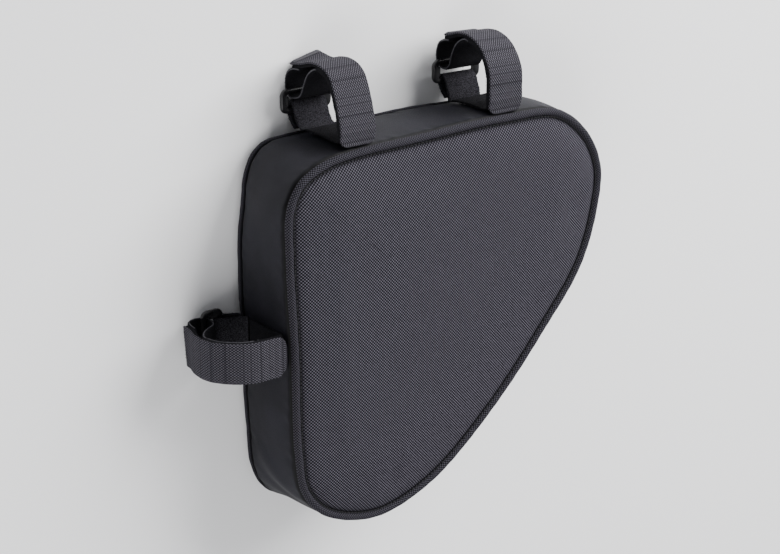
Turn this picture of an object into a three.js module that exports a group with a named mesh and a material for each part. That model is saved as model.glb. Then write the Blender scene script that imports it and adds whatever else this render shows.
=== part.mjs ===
// Bicycle frame bag: a padded, rounded-triangle pouch with three webbing straps.
// Millimetres, +Z up. The bag lies on its back panel: X runs along its top edge, Y points to
// the top edge, and Z runs from the back panel to the front panel. The origin is the middle
// of the flat that it lies on.

import * as THREE from 'three'

// The bag's body
const BAG_WIDTH = 238
const BAG_HEIGHT = 240
const GUSSET_DEPTH = 50
const GUSSET_WALL = 2
const GUSSET_BULGE = 1.5
const PANEL_WALL = 2.6
const FRONT_CROWN = 5
const FRONT_DOME = 1.6
const BACK_CROWN = 8.6
const CROWN_REACH = 20
const CROWN_POWER = 2.4
const PIPING_DIAMETER = 4.8
const PIPING_INSET = 2.2
const PIPING_STANDOFF = 1.7
const GAP = 0.3

// The soft bag hangs a little racked: its back is turned against its front by this angle
const RACK = THREE.MathUtils.degToRad(-0.8)

// The soft bag's back seam isn't quite the front one's outline. Each stretch stands out or in
// where it lies round the outline, with its reach to each side (shares of the outline) and its
// size (a share of GUSSET_DEPTH), growing from the front seam with this power of the depth
const DRIFT_POWER = 1.6
const DRIFT = [
  { stretch: 'top, by the upper right strap', around: 0, reach: 0.035, out: -0.032 },
  { stretch: 'upper left corner', around: 0.176, reach: 0.016, out: 0.066 },
  { stretch: 'left side under that corner', around: 0.222, reach: 0.021, out: -0.066 },
  { stretch: 'left side, by the side strap', around: 0.3, reach: 0.02, out: 0.018 },
  { stretch: 'left side, low', around: 0.405, reach: 0.025, out: -0.022 },
  { stretch: 'lower corner sags', around: 0.466, reach: 0.022, out: 0.068 },
]

// Relief of the gusset: where each form lies round the outline, how far it reaches to each side
// and how much it drifts from front to back (shares of the outline), at which share of the
// depth it is strongest, and how far it stands out
const RELIEF = [
  { form: 'hollow over the lower corner', around: 0.468, reach: 0.016, drift: 0, deepest: 0.62, out: -2 },
  { form: 'crease over that corner', around: 0.447, reach: 0.009, drift: -0.04, deepest: 0.5, out: -1 },
]

// The zip, a band on the back panel's slope: from which of the outline's steps to which it
// runs, and over which shares of the slope
const ZIP_FIRST = 55
const ZIP_LAST = 82
const ZIP_RUNS = [0.05, 0.2, 0.42]
const ZIP_TEETH = 5
const ZIP_TAPE = 1
const ZIP_RIDGE = 1.2
const SLIDER_RISE = 1.2

// The straps
const STRAP_WIDTH = 25
const STRAP_WEBBING = 2.4
const CINCH_WEBBING = 1.8
const LOOP_HEIGHT = 46.5
const RING_WIDTH = 36
// The ring goes with the loop that runs through it, in its height and in the level of its middle
const RING_HEIGHT = LOOP_HEIGHT / 3.1
const RING_LEVEL = LOOP_HEIGHT * 0.3914
const RING_BAR = 3
const RING_BOW = 1.2
const RING_SETBACK = 2.9

// Steps of the faceted surfaces. The runs are shares: of the gusset's depth from front to back,
// of a panel's slope beyond the zip's, and of the way from its middle to the end of the slope
const OUTLINE_STEPS = 60
const STRAP_STEPS = 42
const RING_STEPS = 7
const BEND_STEPS = 4
const SAME_POINT = 0.01
const TAB_STEPS = 24
const SHARED_STEPS = 8
const SEAT_SAMPLES = 300
const GUSSET_RUN = [0, 0.15, 0.32, 0.5, 0.68, 0.85, 1]
const CROWN_RUNS = [0.7, 1]
const DOME_RUNS = [0.66, 0.3]

// Outline of the seam between gusset and front panel, as shares of BAG_WIDTH and BAG_HEIGHT,
// from the middle of the top edge over the upper left corner and round
const OUTLINE = [
  { place: 'top middle', across: 0.242, up: 0.427 },
  { place: 'top', across: -0.021, up: 0.419 },
  { place: 'top, by the upper left strap', across: -0.223, up: 0.411 },
  { place: 'upper left corner starts', across: -0.303, up: 0.398 },
  { place: 'upper left corner', across: -0.378, up: 0.361 },
  { place: 'upper left corner ends', across: -0.416, up: 0.296 },
  { place: 'left side, high', across: -0.421, up: 0.167 },
  { place: 'left side, middle', across: -0.41, up: -0.0625 },
  { place: 'left side, low', across: -0.403, up: -0.346 },
  { place: 'lower corner starts', across: -0.382, up: -0.458 },
  { place: 'lower corner', across: -0.311, up: -0.534 },
  { place: 'lowest point', across: -0.155, up: -0.574 },
  { place: 'long side starts', across: 0.021, up: -0.52 },
  { place: 'long side, low', across: 0.218, up: -0.367 },
  { place: 'long side, middle', across: 0.399, up: -0.173 },
  { place: 'long side, high', across: 0.517, up: -0.021 },
  { place: 'nose, below', across: 0.571, up: 0.142 },
  { place: 'nose', across: 0.576, up: 0.2375 },
  { place: 'nose, above', across: 0.532, up: 0.334 },
  { place: 'nose meets the top', across: 0.43, up: 0.413 },
]

// Middle of the strap's webbing in the plane of its loop: depth from the front seam as a share
// of GUSSET_DEPTH, height over the gusset as a share of LOOP_HEIGHT
const STRAP_ROUTE = [
  { place: 'turned up at the front', depth: 0.046, height: 0.14 },
  { place: 'front', depth: 0.042, height: 0.32 },
  { place: 'front, high', depth: 0.042, height: 0.5 },
  { place: 'leans back', depth: 0.085, height: 0.66 },
  { place: 'shoulder', depth: 0.19, height: 0.815 },
  { place: 'over the top', depth: 0.33, height: 0.92 },
  { place: 'highest point', depth: 0.52, height: 0.972 },
  { place: 'back of the top', depth: 0.71, height: 0.955 },
  { place: 'before the cut end', depth: 0.87, height: 0.905 },
]

// Middle of the cinch layer where it leaves the strap, runs through the ring and comes back
const CINCH_ROUTE = [
  { place: 'leaves the strap', depth: 0.62, height: 0.885 },
  { place: 'turns down', depth: 0.715, height: 0.8 },
  { place: 'runs down', depth: 0.79, height: 0.66 },
  { place: 'bends to the ring', depth: 0.86, height: 0.505 },
  { place: 'into the ring', depth: 0.955, height: 0.452 },
  { place: 'under the upper bar', depth: 1.066, height: 0.448 },
  { place: 'turns up outside', depth: 1.138, height: 0.505 },
  { place: 'bulge', depth: 1.156, height: 0.63 },
  { place: 'closes in', depth: 1.11, height: 0.76 },
  { place: 'under the strap end', depth: 1.0, height: 0.825 },
  { place: 'lies under the strap', depth: 0.87, height: 0.845 },
]

// Middle of the short tab from the gusset round the ring's lower bar and back
const TAB_ROUTE = [
  { place: 'turns up', depth: 0.915, height: 0.095 },
  { place: 'rises', depth: 0.965, height: 0.2 },
  { place: 'beside the lower bar', depth: 0.997, height: 0.28 },
  { place: 'over the lower bar', depth: 1.066, height: 'fold' },
  { place: 'down outside', depth: 1.138, height: 0.27 },
  { place: 'runs back in', depth: 1.098, height: 0.17 },
  { place: 'slants to the seam', depth: 1.04, height: 0.09 },
  { place: 'ends at the back seam', depth: 0.985, height: 0.045 },
]

// The three straps: the side that carries each, and its place along it as a share of the bag's
// size; as shares of GUSSET_DEPTH, how far it stands ahead of the others, how far its ring sits
// forward of the longest one's, and how far its front leans back; as shares of LOOP_HEIGHT, how
// far its ring is lifted, how high its tab folds over the ring's bar, and its cut end's height;
// that end's depth, as the routes give it; and as shares of STRAP_WIDTH, the skew of the end,
// the drop of the far edge and the ring's place aside
const STRAPS = [
  {
    name: 'upper_left', edge: 'top', along: -0.196, ahead: 0, forward: -0.024, lean: 0.08, lift: 0,
    fold: 0.37, endDepth: 1.1, endHeight: 0.9, skew: 0.32, drop: 0, aside: -0.06,
  },
  {
    name: 'upper_right', edge: 'top', along: 0.265, ahead: 0, forward: 0.056, lean: 0, lift: 0,
    fold: 0.331, endDepth: 0.94, endHeight: 0.885, skew: 0, drop: 0.05, aside: -0.05,
  },
  {
    name: 'side', edge: 'left', along: -0.077, ahead: 0.04, forward: 0, lean: 0, lift: 0.075,
    fold: 0.34, endDepth: 0.96, endHeight: 0.885, skew: 0.12, drop: 0, aside: 0,
  },
]

// Where the straps' layers touch the gusset, as shares of GUSSET_DEPTH: the sewn base of the
// strap from its back end to its bend, and the foot of the tab
const BASE_RUN = [0.775, 0.62, 0.46, 0.3, 0.17]
const BASE_BEND = { depth: 0.085, height: 0.068 }
const TAB_FOOT = 0.85

// The skew of a cut end starts this share of GUSSET_DEPTH before it, above this share of
// LOOP_HEIGHT
const SKEW_REACH = 0.3
const SKEW_FLOOR = 0.7

// Behind the bag the layers move with their ring, fully so from the second of these shares
const FOLLOWS_RING = [0.8, 0.95]

// A leaning front is furthest back at this share of LOOP_HEIGHT, with this reach up and down,
// and leans no more between these shares of GUSSET_DEPTH
const LEAN_LEVEL = 0.62
const LEAN_REACH = 0.25
const LEAN_ENDS = [0.15, 0.6]

// A lifted ring takes the layers with it behind the first of these shares of GUSSET_DEPTH, fully
// from the second, between the levels (shares of LOOP_HEIGHT) where they pass through it
const LIFT_STARTS = [0.6, 0.85]
const LIFT_FOOT = [0.05, 0.3]
const LIFT_HEAD = [0.5, 0.85]

const PIPING_RADIUS = PIPING_DIAMETER / 2
const PANEL_INSET = PIPING_INSET + PIPING_RADIUS + GAP
const PANEL_EDGE = PIPING_STANDOFF + GAP
const BACK_SEAM = PANEL_EDGE + BACK_CROWN
const FRONT_SEAM = BACK_SEAM + GUSSET_DEPTH

const UP = new THREE.Vector3(0, 0, 1)

const outlineCurve = new THREE.CatmullRomCurve3(
  OUTLINE.map((row) => new THREE.Vector3(row.across * BAG_WIDTH, row.up * BAG_HEIGHT, 0)),
  true,
  'centripetal',
)

// How far the outline stands out of the front seam's at a share of its length and of the depth
function driftAt(share, depthShare) {
  const sum = DRIFT.reduce((total, row) => {
    const away = share - row.around
    const off = (away - Math.round(away)) / row.reach
    return total + row.out * Math.exp(-off * off)
  }, 0)
  return sum * GUSSET_DEPTH * depthShare ** DRIFT_POWER
}

// A point of the outline at a share of its length and of the bag's depth
function outlineAt(around, depthShare) {
  const share = ((around % 1) + 1) % 1
  const turn = RACK * depthShare
  const point = outlineCurve.getPointAt(share).applyAxisAngle(UP, turn)
  const tangent = outlineCurve.getTangentAt(share).applyAxisAngle(UP, turn)
  const normal = new THREE.Vector3(tangent.y, -tangent.x, 0)
  return { point: point.addScaledVector(normal, driftAt(share, depthShare)), normal }
}

function stationsAt(depthShare) {
  return Array.from({ length: OUTLINE_STEPS }, (_, i) => outlineAt(i / OUTLINE_STEPS, depthShare))
}

const FRONT_STATIONS = stationsAt(0)
const BACK_STATIONS = stationsAt(1)

// The outline moved outwards by a distance, at a height
function outlineRing(stations, outwards, z) {
  return stations.map(({ point, normal }) => point.clone().addScaledVector(normal, outwards).setZ(z))
}

// A closed mesh from rings of points of one length. The rings close on each other when cyclic,
// and are otherwise closed by a fan at each end
function loft(rings, cyclic) {
  const steps = rings[0].length
  const points = rings.flat()
  const faces = []
  const last = cyclic ? rings.length : rings.length - 1
  for (let i = 0; i < last; i += 1) {
    const here = i * steps
    const next = ((i + 1) % rings.length) * steps
    for (let j = 0; j < steps; j += 1) {
      const k = (j + 1) % steps
      faces.push(here + j, here + k, next + k, here + j, next + k, next + j)
    }
  }
  if (!cyclic) {
    for (const [start, flip] of [[0, true], [(rings.length - 1) * steps, false]]) {
      const middle = new THREE.Vector3()
      for (let j = 0; j < steps; j += 1) middle.addScaledVector(points[start + j], 1 / steps)
      const centre = points.push(middle) - 1
      for (let j = 0; j < steps; j += 1) {
        const k = (j + 1) % steps
        faces.push(centre, start + (flip ? k : j), start + (flip ? j : k))
      }
    }
  }
  const geometry = new THREE.BufferGeometry().setFromPoints(points)
  geometry.setIndex(faces)
  return outwardFacing(geometry)
}

// Turns the faces round where the mesh is inside out
function outwardFacing(geometry) {
  const position = geometry.getAttribute('position')
  const index = geometry.getIndex()
  const [a, b, c] = [new THREE.Vector3(), new THREE.Vector3(), new THREE.Vector3()]
  let volume = 0
  for (let i = 0; i < index.count; i += 3) {
    a.fromBufferAttribute(position, index.getX(i))
    b.fromBufferAttribute(position, index.getX(i + 1))
    c.fromBufferAttribute(position, index.getX(i + 2))
    volume += a.dot(b.cross(c))
  }
  if (volume < 0) index.array.reverse()
  geometry.computeVertexNormals()
  return geometry
}

function piece(name, geometry, finish) {
  const mesh = new THREE.Mesh(geometry, new THREE.MeshStandardMaterial(finish))
  mesh.name = name
  return mesh
}

const WOVEN = { color: 0x45424c, roughness: 0.85, metalness: 0 }
const SMOOTH = { color: 0x2b2b30, roughness: 0.55, metalness: 0 }
const WEBBING = { color: 0x504e56, roughness: 0.9, metalness: 0 }
const PILE = { color: 0x17171a, roughness: 1, metalness: 0 }
const PLASTIC = { color: 0x1c1c1f, roughness: 0.4, metalness: 0 }

// How far the gusset's outer face stands out at a share of its depth
function gussetBulge(depthShare) {
  return GUSSET_BULGE * Math.sin(Math.PI * THREE.MathUtils.clamp(depthShare, 0, 1))
}

// How far the relief stands out at a place round the outline and a share of the depth
function reliefAt(around, depthShare) {
  return RELIEF.reduce((sum, form) => {
    const fade = Math.sin(Math.PI * depthShare ** (Math.log(0.5) / Math.log(form.deepest)))
    const off = (around - form.around - form.drift * (depthShare - 0.5)) / form.reach
    return sum + form.out * fade * Math.exp(-off * off)
  }, 0)
}

// The band between the two seams, a closed ring with an outer and an inner face
function gusset() {
  const clear = GAP + PIPING_RADIUS - PIPING_STANDOFF
  const low = BACK_SEAM + clear
  const high = FRONT_SEAM - clear
  const face = (wall) => (share) => stationsAt(share).map(({ point, normal }, i) => {
    const out = gussetBulge(share) + reliefAt(i / OUTLINE_STEPS, share) - wall
    return point.addScaledVector(normal, out).setZ(THREE.MathUtils.lerp(high, low, share))
  })
  const inwards = [...GUSSET_RUN].reverse()
  const rings = [...GUSSET_RUN.map(face(0)), ...inwards.map(face(GUSSET_WALL))]
  return piece('gusset', loft(rings, true), SMOOTH)
}

// A round cord sewn into a seam, all the way round
function piping(name, stations, z) {
  const rings = []
  for (let i = 0; i < RING_STEPS; i += 1) {
    const turn = (2 * Math.PI * i) / RING_STEPS
    const out = PIPING_RADIUS * Math.cos(turn) - PIPING_INSET
    rings.push(outlineRing(stations, out, z + PIPING_RADIUS * Math.sin(turn)))
  }
  return piece(name, loft(rings, true), WOVEN)
}

// Rise of a crowned panel at a distance inside the seam
function crownAt(inset, crown) {
  const run = THREE.MathUtils.clamp((inset - PANEL_INSET) / CROWN_REACH, 0, 1)
  return crown * (1 - (1 - run) ** CROWN_POWER)
}

// A crowned panel. side is 1 where it faces up and -1 where it faces down
function panel(name, stations, { seam, crown, dome, side }) {
  const outer = []
  const inner = []
  for (const run of [0, ...ZIP_RUNS, ...CROWN_RUNS]) {
    const inset = PANEL_INSET + run * CROWN_REACH
    const rise = PANEL_EDGE + crownAt(inset, crown)
    outer.push(outlineRing(stations, -inset, seam + side * rise))
    inner.push(outlineRing(stations, -inset, seam + side * (rise - PANEL_WALL)))
  }
  const rim = outer[outer.length - 1]
  for (const shrink of DOME_RUNS) {
    const lift = side * dome * (1 - shrink * shrink)
    const scaled = rim.map((p) => new THREE.Vector3(p.x * shrink, p.y * shrink, p.z + lift))
    outer.push(scaled)
    inner.push(scaled.map((p) => p.clone().setZ(p.z - side * PANEL_WALL)))
  }
  return piece(name, loft([...outer.reverse(), ...inner], false), WOVEN)
}

// The zip closure: a tape that follows the back panel's slope from one of its rings to another,
// with a ridge of teeth along its middle and a slider at its first stretch
function zipClosure() {
  const [outerEdge, middle, innerEdge] = ZIP_RUNS.map((run) => PANEL_INSET + run * CROWN_REACH)
  const rings = []
  for (let i = ZIP_FIRST; i <= ZIP_LAST; i += 1) {
    const { point, normal } = BACK_STATIONS[i % OUTLINE_STEPS]
    const ridge = ZIP_TAPE + ZIP_RIDGE + (i < ZIP_FIRST + 2 ? SLIDER_RISE : 0)
    const spots = [
      { inset: outerEdge, rise: 0 },
      { inset: outerEdge, rise: ZIP_TAPE },
      { inset: middle - ZIP_TEETH / 2, rise: ZIP_TAPE },
      { inset: middle - ZIP_TEETH / 3, rise: ridge },
      { inset: middle + ZIP_TEETH / 3, rise: ridge },
      { inset: middle + ZIP_TEETH / 2, rise: ZIP_TAPE },
      { inset: innerEdge, rise: ZIP_TAPE },
      { inset: innerEdge, rise: 0 },
      { inset: middle, rise: 0 },
    ]
    rings.push(spots.map(({ inset, rise }) => {
      const z = BACK_SEAM - PANEL_EDGE - crownAt(inset, BACK_CROWN) - GAP - rise
      return point.clone().addScaledVector(normal, -inset).setZ(z)
    }))
  }
  return piece('zip_closure', loft(rings, false), SMOOTH)
}

// A row of a route as a point of the loop's plane. Behind the bag it moves forward with the ring
function routePoint(row, strap) {
  const { smoothstep } = THREE.MathUtils
  const height = row.height === 'fold' ? strap.fold : row.height
  const front = 1 - smoothstep(row.depth, ...LEAN_ENDS)
  const lean = strap.lean * front * Math.exp(-(((height - LEAN_LEVEL) / LEAN_REACH) ** 2))
  const behind = smoothstep(row.depth, ...FOLLOWS_RING)
  const depth = row.depth + lean - strap.ahead - strap.forward * behind
  const threaded = smoothstep(height, ...LIFT_FOOT) * (1 - smoothstep(height, ...LIFT_HEAD))
  const lift = strap.lift * threaded * smoothstep(row.depth, ...LIFT_STARTS)
  return new THREE.Vector2(depth * GUSSET_DEPTH, (height + lift) * LOOP_HEIGHT)
}

// Evenly spaced points of a smooth line through points of the loop's plane
function smoothLine(points, steps) {
  const spots = points.map((p) => new THREE.Vector3(p.x, p.y, 0))
  const curve = new THREE.CatmullRomCurve3(spots, false, 'centripetal')
  return curve.getSpacedPoints(steps).map((p) => new THREE.Vector2(p.x, p.y))
}

// The line moved to its left by a distance
function shiftedLine(line, distance) {
  return line.map((p, i) => {
    const before = line[Math.max(i - 1, 0)]
    const after = line[Math.min(i + 1, line.length - 1)]
    const along = after.clone().sub(before).normalize()
    return new THREE.Vector2(p.x - along.y * distance, p.y + along.x * distance)
  })
}

// A strip of webbing: its middle line thickened, and extruded by its width
function strip(line, thickness) {
  const left = shiftedLine(line, thickness / 2)
  const right = shiftedLine(line, -thickness / 2).reverse()
  const shape = new THREE.Shape([...left, ...right])
  return new THREE.ExtrudeGeometry(shape, { depth: STRAP_WIDTH, bevelEnabled: false, steps: 1 })
}

// Where a strap sits: the gusset's highest stretch under its width, at a share of the depth
function seatHeight(strap, depthShare) {
  const onTop = strap.edge === 'top'
  const centre = strap.along * (onTop ? BAG_WIDTH : BAG_HEIGHT)
  const spots = Array.from({ length: SEAT_SAMPLES }, (_, i) => outlineAt(i / SEAT_SAMPLES, depthShare).point)
  const under = spots.filter((p) => Math.abs((onTop ? p.x : p.y) - centre) < STRAP_WIDTH / 2 + GAP)
  return Math.max(...under.map((p) => (onTop ? p.y : -p.x)))
}

// Middle of webbing that lies on the gusset, at a share of the depth
function basePoint(strap, depthShare, thickness) {
  const seat = seatHeight(strap, depthShare) - seatHeight(strap, 0)
  const height = seat + gussetBulge(depthShare) + GAP + thickness / 2
  return new THREE.Vector2((depthShare - strap.ahead) * GUSSET_DEPTH, height)
}

// Middle of the strap: sewn along the gusset, up at the front, over the top to its cut end
function strapLine(strap) {
  const base = BASE_RUN.map((share) => basePoint(strap, share, STRAP_WEBBING))
  const bend = routePoint(BASE_BEND, strap)
  const up = STRAP_ROUTE.map((row) => routePoint(row, strap))
  const end = routePoint({ depth: strap.endDepth, height: strap.endHeight }, { ahead: 0, forward: 0, lean: 0, lift: 0 })
  return smoothLine([...base, bend, ...up, end], STRAP_STEPS)
}

// Middle of the cinch layer: it lies under the strap from the front, as far as its own route
function cinchLine(strap) {
  const beneath = (STRAP_WEBBING + CINCH_WEBBING) / 2 + GAP
  const above = smoothLine(STRAP_ROUTE.slice(2, 7).map((row) => routePoint(row, strap)), SHARED_STEPS)
  const free = CINCH_ROUTE.map((row) => routePoint(row, strap))
  return smoothLine([...shiftedLine(above, -beneath), ...free], STRAP_STEPS)
}

// Middle of the tab: from its foot on the gusset round the ring's lower bar
function tabLine(strap) {
  const foot = basePoint(strap, TAB_FOOT, CINCH_WEBBING)
  return smoothLine([foot, ...TAB_ROUTE.map((row) => routePoint(row, strap))], TAB_STEPS)
}

// The plastic ring: a round bar along a rounded rectangle that bows backwards in the middle
function ringGeometry() {
  const corner = RING_BAR
  const halfWidth = (RING_WIDTH - RING_BAR) / 2
  const halfHeight = (RING_HEIGHT - RING_BAR) / 2
  const path = new THREE.Path()
  path.moveTo(halfWidth - corner, -halfHeight)
  path.absarc(halfWidth - corner, corner - halfHeight, corner, -Math.PI / 2, 0)
  path.absarc(halfWidth - corner, halfHeight - corner, corner, 0, Math.PI / 2)
  path.lineTo(0, halfHeight)
  path.absarc(corner - halfWidth, halfHeight - corner, corner, Math.PI / 2, Math.PI)
  path.absarc(corner - halfWidth, corner - halfHeight, corner, Math.PI, 1.5 * Math.PI)
  path.lineTo(0, -halfHeight)
  path.closePath()
  const points = path.getPoints(BEND_STEPS).filter((p, i, all) => {
    const before = all[(i + all.length - 1) % all.length]
    return p.distanceTo(before) > SAME_POINT
  })
  const rings = points.map((p, i) => {
    const before = points[(i + points.length - 1) % points.length]
    const after = points[(i + 1) % points.length]
    const along = after.clone().sub(before).normalize()
    const bow = RING_BOW * (1 - (p.x / halfWidth) ** 2)
    return Array.from({ length: RING_STEPS }, (_, j) => {
      const turn = (2 * Math.PI * j) / RING_STEPS
      const out = (RING_BAR / 2) * Math.cos(turn)
      const back = (RING_BAR / 2) * Math.sin(turn) + bow
      return new THREE.Vector3(p.x + along.y * out, p.y - along.x * out, -back)
    })
  })
  return loft(rings, true)
}

// Sends the loop's plane to the bag: x to depth, y outwards from the gusset, z along the edge
function loopMatrix(strap) {
  const onTop = strap.edge === 'top'
  const out = seatHeight(strap, 0)
  const depth = new THREE.Vector3(0, 0, -1)
  const outwards = onTop ? new THREE.Vector3(0, 1, 0) : new THREE.Vector3(-1, 0, 0)
  const along = new THREE.Vector3().crossVectors(depth, outwards)
  const origin = onTop
    ? new THREE.Vector3(strap.along * BAG_WIDTH, out, FRONT_SEAM)
    : new THREE.Vector3(-out, strap.along * BAG_HEIGHT, FRONT_SEAM)
  origin.addScaledVector(along, -STRAP_WIDTH / 2)
  return new THREE.Matrix4().makeBasis(depth, outwards, along).setPosition(origin)
}

// Skews the strap's cut end across its width, and drops its far edge towards the top
function easeStrip(geometry, strap) {
  const position = geometry.getAttribute('position')
  const end = strap.endDepth * GUSSET_DEPTH
  const start = end - SKEW_REACH * GUSSET_DEPTH
  for (let i = 0; i < position.count; i += 1) {
    const [x, y, z] = [position.getX(i), position.getY(i), position.getZ(i)]
    const run = THREE.MathUtils.clamp((x - start) / (end - start), 0, 1)
    const nearEnd = y > SKEW_FLOOR * LOOP_HEIGHT ? run : 0
    const raised = Math.max(y, 0) / LOOP_HEIGHT
    position.setX(i, x + strap.skew * nearEnd * nearEnd * (z - STRAP_WIDTH / 2))
    position.setY(i, y - strap.drop * raised * raised * z)
  }
}

function strapPieces(strap) {
  const seat = loopMatrix(strap)
  const strapBody = strip(strapLine(strap), STRAP_WEBBING)
  const cinchBody = strip(cinchLine(strap), CINCH_WEBBING)
  const tabBody = strip(tabLine(strap), CINCH_WEBBING)
  easeStrip(strapBody, strap)
  easeStrip(cinchBody, { ...strap, skew: 0 })
  for (const body of [strapBody, cinchBody, tabBody]) body.applyMatrix4(seat)

  const ring = ringGeometry()
  const across = new THREE.Matrix4().makeRotationY(-Math.PI / 2)
  const ringDepth = (1 - strap.ahead - strap.forward) * GUSSET_DEPTH + RING_SETBACK
  const ringLevel = RING_LEVEL + strap.lift * LOOP_HEIGHT
  across.setPosition(ringDepth, ringLevel, (0.5 + strap.aside) * STRAP_WIDTH)
  ring.applyMatrix4(new THREE.Matrix4().multiplyMatrices(seat, across))
  return [
    piece(`${strap.name}_strap`, strapBody, WEBBING),
    piece(`${strap.name}_cinch`, cinchBody, PILE),
    piece(`${strap.name}_tab`, tabBody, PILE),
    piece(`${strap.name}_ring`, ring, PLASTIC),
  ]
}

const bag = new THREE.Group()
bag.add(gusset())
const front = { seam: FRONT_SEAM, crown: FRONT_CROWN, dome: FRONT_DOME, side: 1 }
const back = { seam: BACK_SEAM, crown: BACK_CROWN, dome: 0, side: -1 }
bag.add(panel('front_panel', FRONT_STATIONS, front))
bag.add(panel('back_panel', BACK_STATIONS, back))
bag.add(piping('front_piping', FRONT_STATIONS, FRONT_SEAM + PIPING_STANDOFF))
bag.add(piping('back_piping', BACK_STATIONS, BACK_SEAM - PIPING_STANDOFF))
bag.add(zipClosure())
for (const strap of STRAPS) bag.add(...strapPieces(strap))

export default bag
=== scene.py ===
"""Bicycle frame bag: the looks of a padded, rounded-triangle pouch with three webbing straps.

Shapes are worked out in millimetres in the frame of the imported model: X runs along the bag's
top edge, Y points to that edge, and Z runs from the back panel, on which the bag lies, to the
front panel.
"""

import logging
import math
from dataclasses import dataclass
from enum import Enum
from functools import lru_cache
from itertools import starmap
from typing import NamedTuple

import bpy
import numpy as np
from mathutils import Matrix, Vector
from mathutils.kdtree import KDTree


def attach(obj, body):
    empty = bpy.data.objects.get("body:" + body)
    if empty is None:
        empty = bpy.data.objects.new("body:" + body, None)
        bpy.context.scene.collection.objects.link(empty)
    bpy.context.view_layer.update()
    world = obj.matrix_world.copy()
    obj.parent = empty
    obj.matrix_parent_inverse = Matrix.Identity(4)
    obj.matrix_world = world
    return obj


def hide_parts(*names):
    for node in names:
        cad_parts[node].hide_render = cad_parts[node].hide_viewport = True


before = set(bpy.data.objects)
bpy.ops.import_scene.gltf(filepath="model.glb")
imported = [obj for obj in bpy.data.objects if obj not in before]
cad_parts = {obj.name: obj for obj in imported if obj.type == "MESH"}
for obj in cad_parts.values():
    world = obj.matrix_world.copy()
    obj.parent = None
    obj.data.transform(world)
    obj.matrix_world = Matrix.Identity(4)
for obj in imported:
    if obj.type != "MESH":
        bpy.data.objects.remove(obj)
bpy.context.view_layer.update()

Array = np.ndarray
Random = np.random.Generator
Piece = bpy.types.Object
Material = bpy.types.Material
Socket = bpy.types.NodeSocket
Triple = tuple[float, float, float]
Span = tuple[float, float]
LOG = logging.getLogger("frame_bag")
MM = 0.001
BODY = "root"
SEED = 20


# The bag's sizes and the tables of its forms


class Edge(Enum):
    """The side of the bag that carries a strap."""

    TOP = "top"
    LEFT = "left"


class Facing(Enum):
    """Which way a panel or a piping faces, as the sign of its Z."""

    FRONT = 1
    BACK = -1

    @property
    def side(self) -> str:
        """Its word in the names of pieces and nodes."""
        return self.name.lower()

    @property
    def depth(self) -> float:
        """Share of the gusset's depth at which it lies."""
        return 0.0 if self is Facing.FRONT else 1.0


@dataclass(frozen=True)
class BagSizes:
    """Driving sizes of the bag in millimetres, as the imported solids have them."""

    width: float = 238.0
    height: float = 240.0
    gusset_depth: float = 50.0
    gusset_wall: float = 2.0
    gusset_bulge: float = 1.5
    panel_wall: float = 2.6
    front_crown: float = 5.0
    front_dome: float = 1.6
    back_crown: float = 8.6
    crown_reach: float = 20.0
    crown_power: float = 2.4
    piping_radius: float = 2.4
    piping_inset: float = 2.2
    piping_standoff: float = 1.7
    gap: float = 0.3
    rack: float = math.radians(-0.8)
    strap_width: float = 25.0
    loop_height: float = 46.5

    @property
    def panel_inset(self) -> float:
        """Distance from the seam to the panel's edge."""
        return self.piping_inset + self.piping_radius + self.gap

    @property
    def panel_edge(self) -> float:
        """Height of the panel's edge over its seam."""
        return self.piping_standoff + self.gap

    @property
    def back_seam(self) -> float:
        """Height of the seam between back panel and gusset."""
        return self.panel_edge + self.back_crown

    @property
    def front_seam(self) -> float:
        """Height of the seam between gusset and front panel."""
        return self.back_seam + self.gusset_depth

    def seam(self, facing: Facing) -> float:
        """Height of the seam of the panel that faces so."""
        return self.front_seam if facing is Facing.FRONT else self.back_seam

    def crown_at(self, inset: Array, facing: Facing) -> Array:
        """Rise of a panel: its crown times one minus a power of what is left of the slope."""
        run = np.clip((inset - self.panel_inset) / self.crown_reach, 0, 1)
        crown = self.front_crown if facing is Facing.FRONT else self.back_crown
        return crown * (1 - (1 - run) ** self.crown_power)


BAG = BagSizes()


class OutlineRow(NamedTuple):
    """A point of the outline, as shares of the bag's width and height."""

    place: str
    across: float
    up: float


OUTLINE = tuple(starmap(OutlineRow, (
    ("top middle", 0.242, 0.427),
    ("top", -0.021, 0.419),
    ("top, by the upper left strap", -0.223, 0.411),
    ("upper left corner starts", -0.303, 0.398),
    ("upper left corner", -0.378, 0.361),
    ("upper left corner ends", -0.416, 0.296),
    ("left side, high", -0.421, 0.167),
    ("left side, middle", -0.41, -0.0625),
    ("left side, low", -0.403, -0.346),
    ("lower corner starts", -0.382, -0.458),
    ("lower corner", -0.311, -0.534),
    ("lowest point", -0.155, -0.574),
    ("long side starts", 0.021, -0.52),
    ("long side, low", 0.218, -0.367),
    ("long side, middle", 0.399, -0.173),
    ("long side, high", 0.517, -0.021),
    ("nose, below", 0.571, 0.142),
    ("nose", 0.576, 0.2375),
    ("nose, above", 0.532, 0.334),
    ("nose meets the top", 0.43, 0.413),
)))
OUTLINE_STEPS = 2400


class Drift(NamedTuple):
    """A stretch of the back seam that stands out of the front seam's outline, or in: its place
    and reach round the outline, and its size as a share of the gusset's depth."""

    stretch: str
    around: float
    reach: float
    out: float


DRIFTS = tuple(starmap(Drift, (
    ("top, by the upper right strap", 0.0, 0.035, -0.032),
    ("upper left corner", 0.176, 0.016, 0.066),
    ("left side under that corner", 0.222, 0.021, -0.066),
    ("left side, by the side strap", 0.3, 0.02, 0.018),
    ("left side, low", 0.405, 0.025, -0.022),
    ("lower corner sags", 0.466, 0.022, 0.068),
)))
DRIFT_POWER = 1.6


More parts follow.
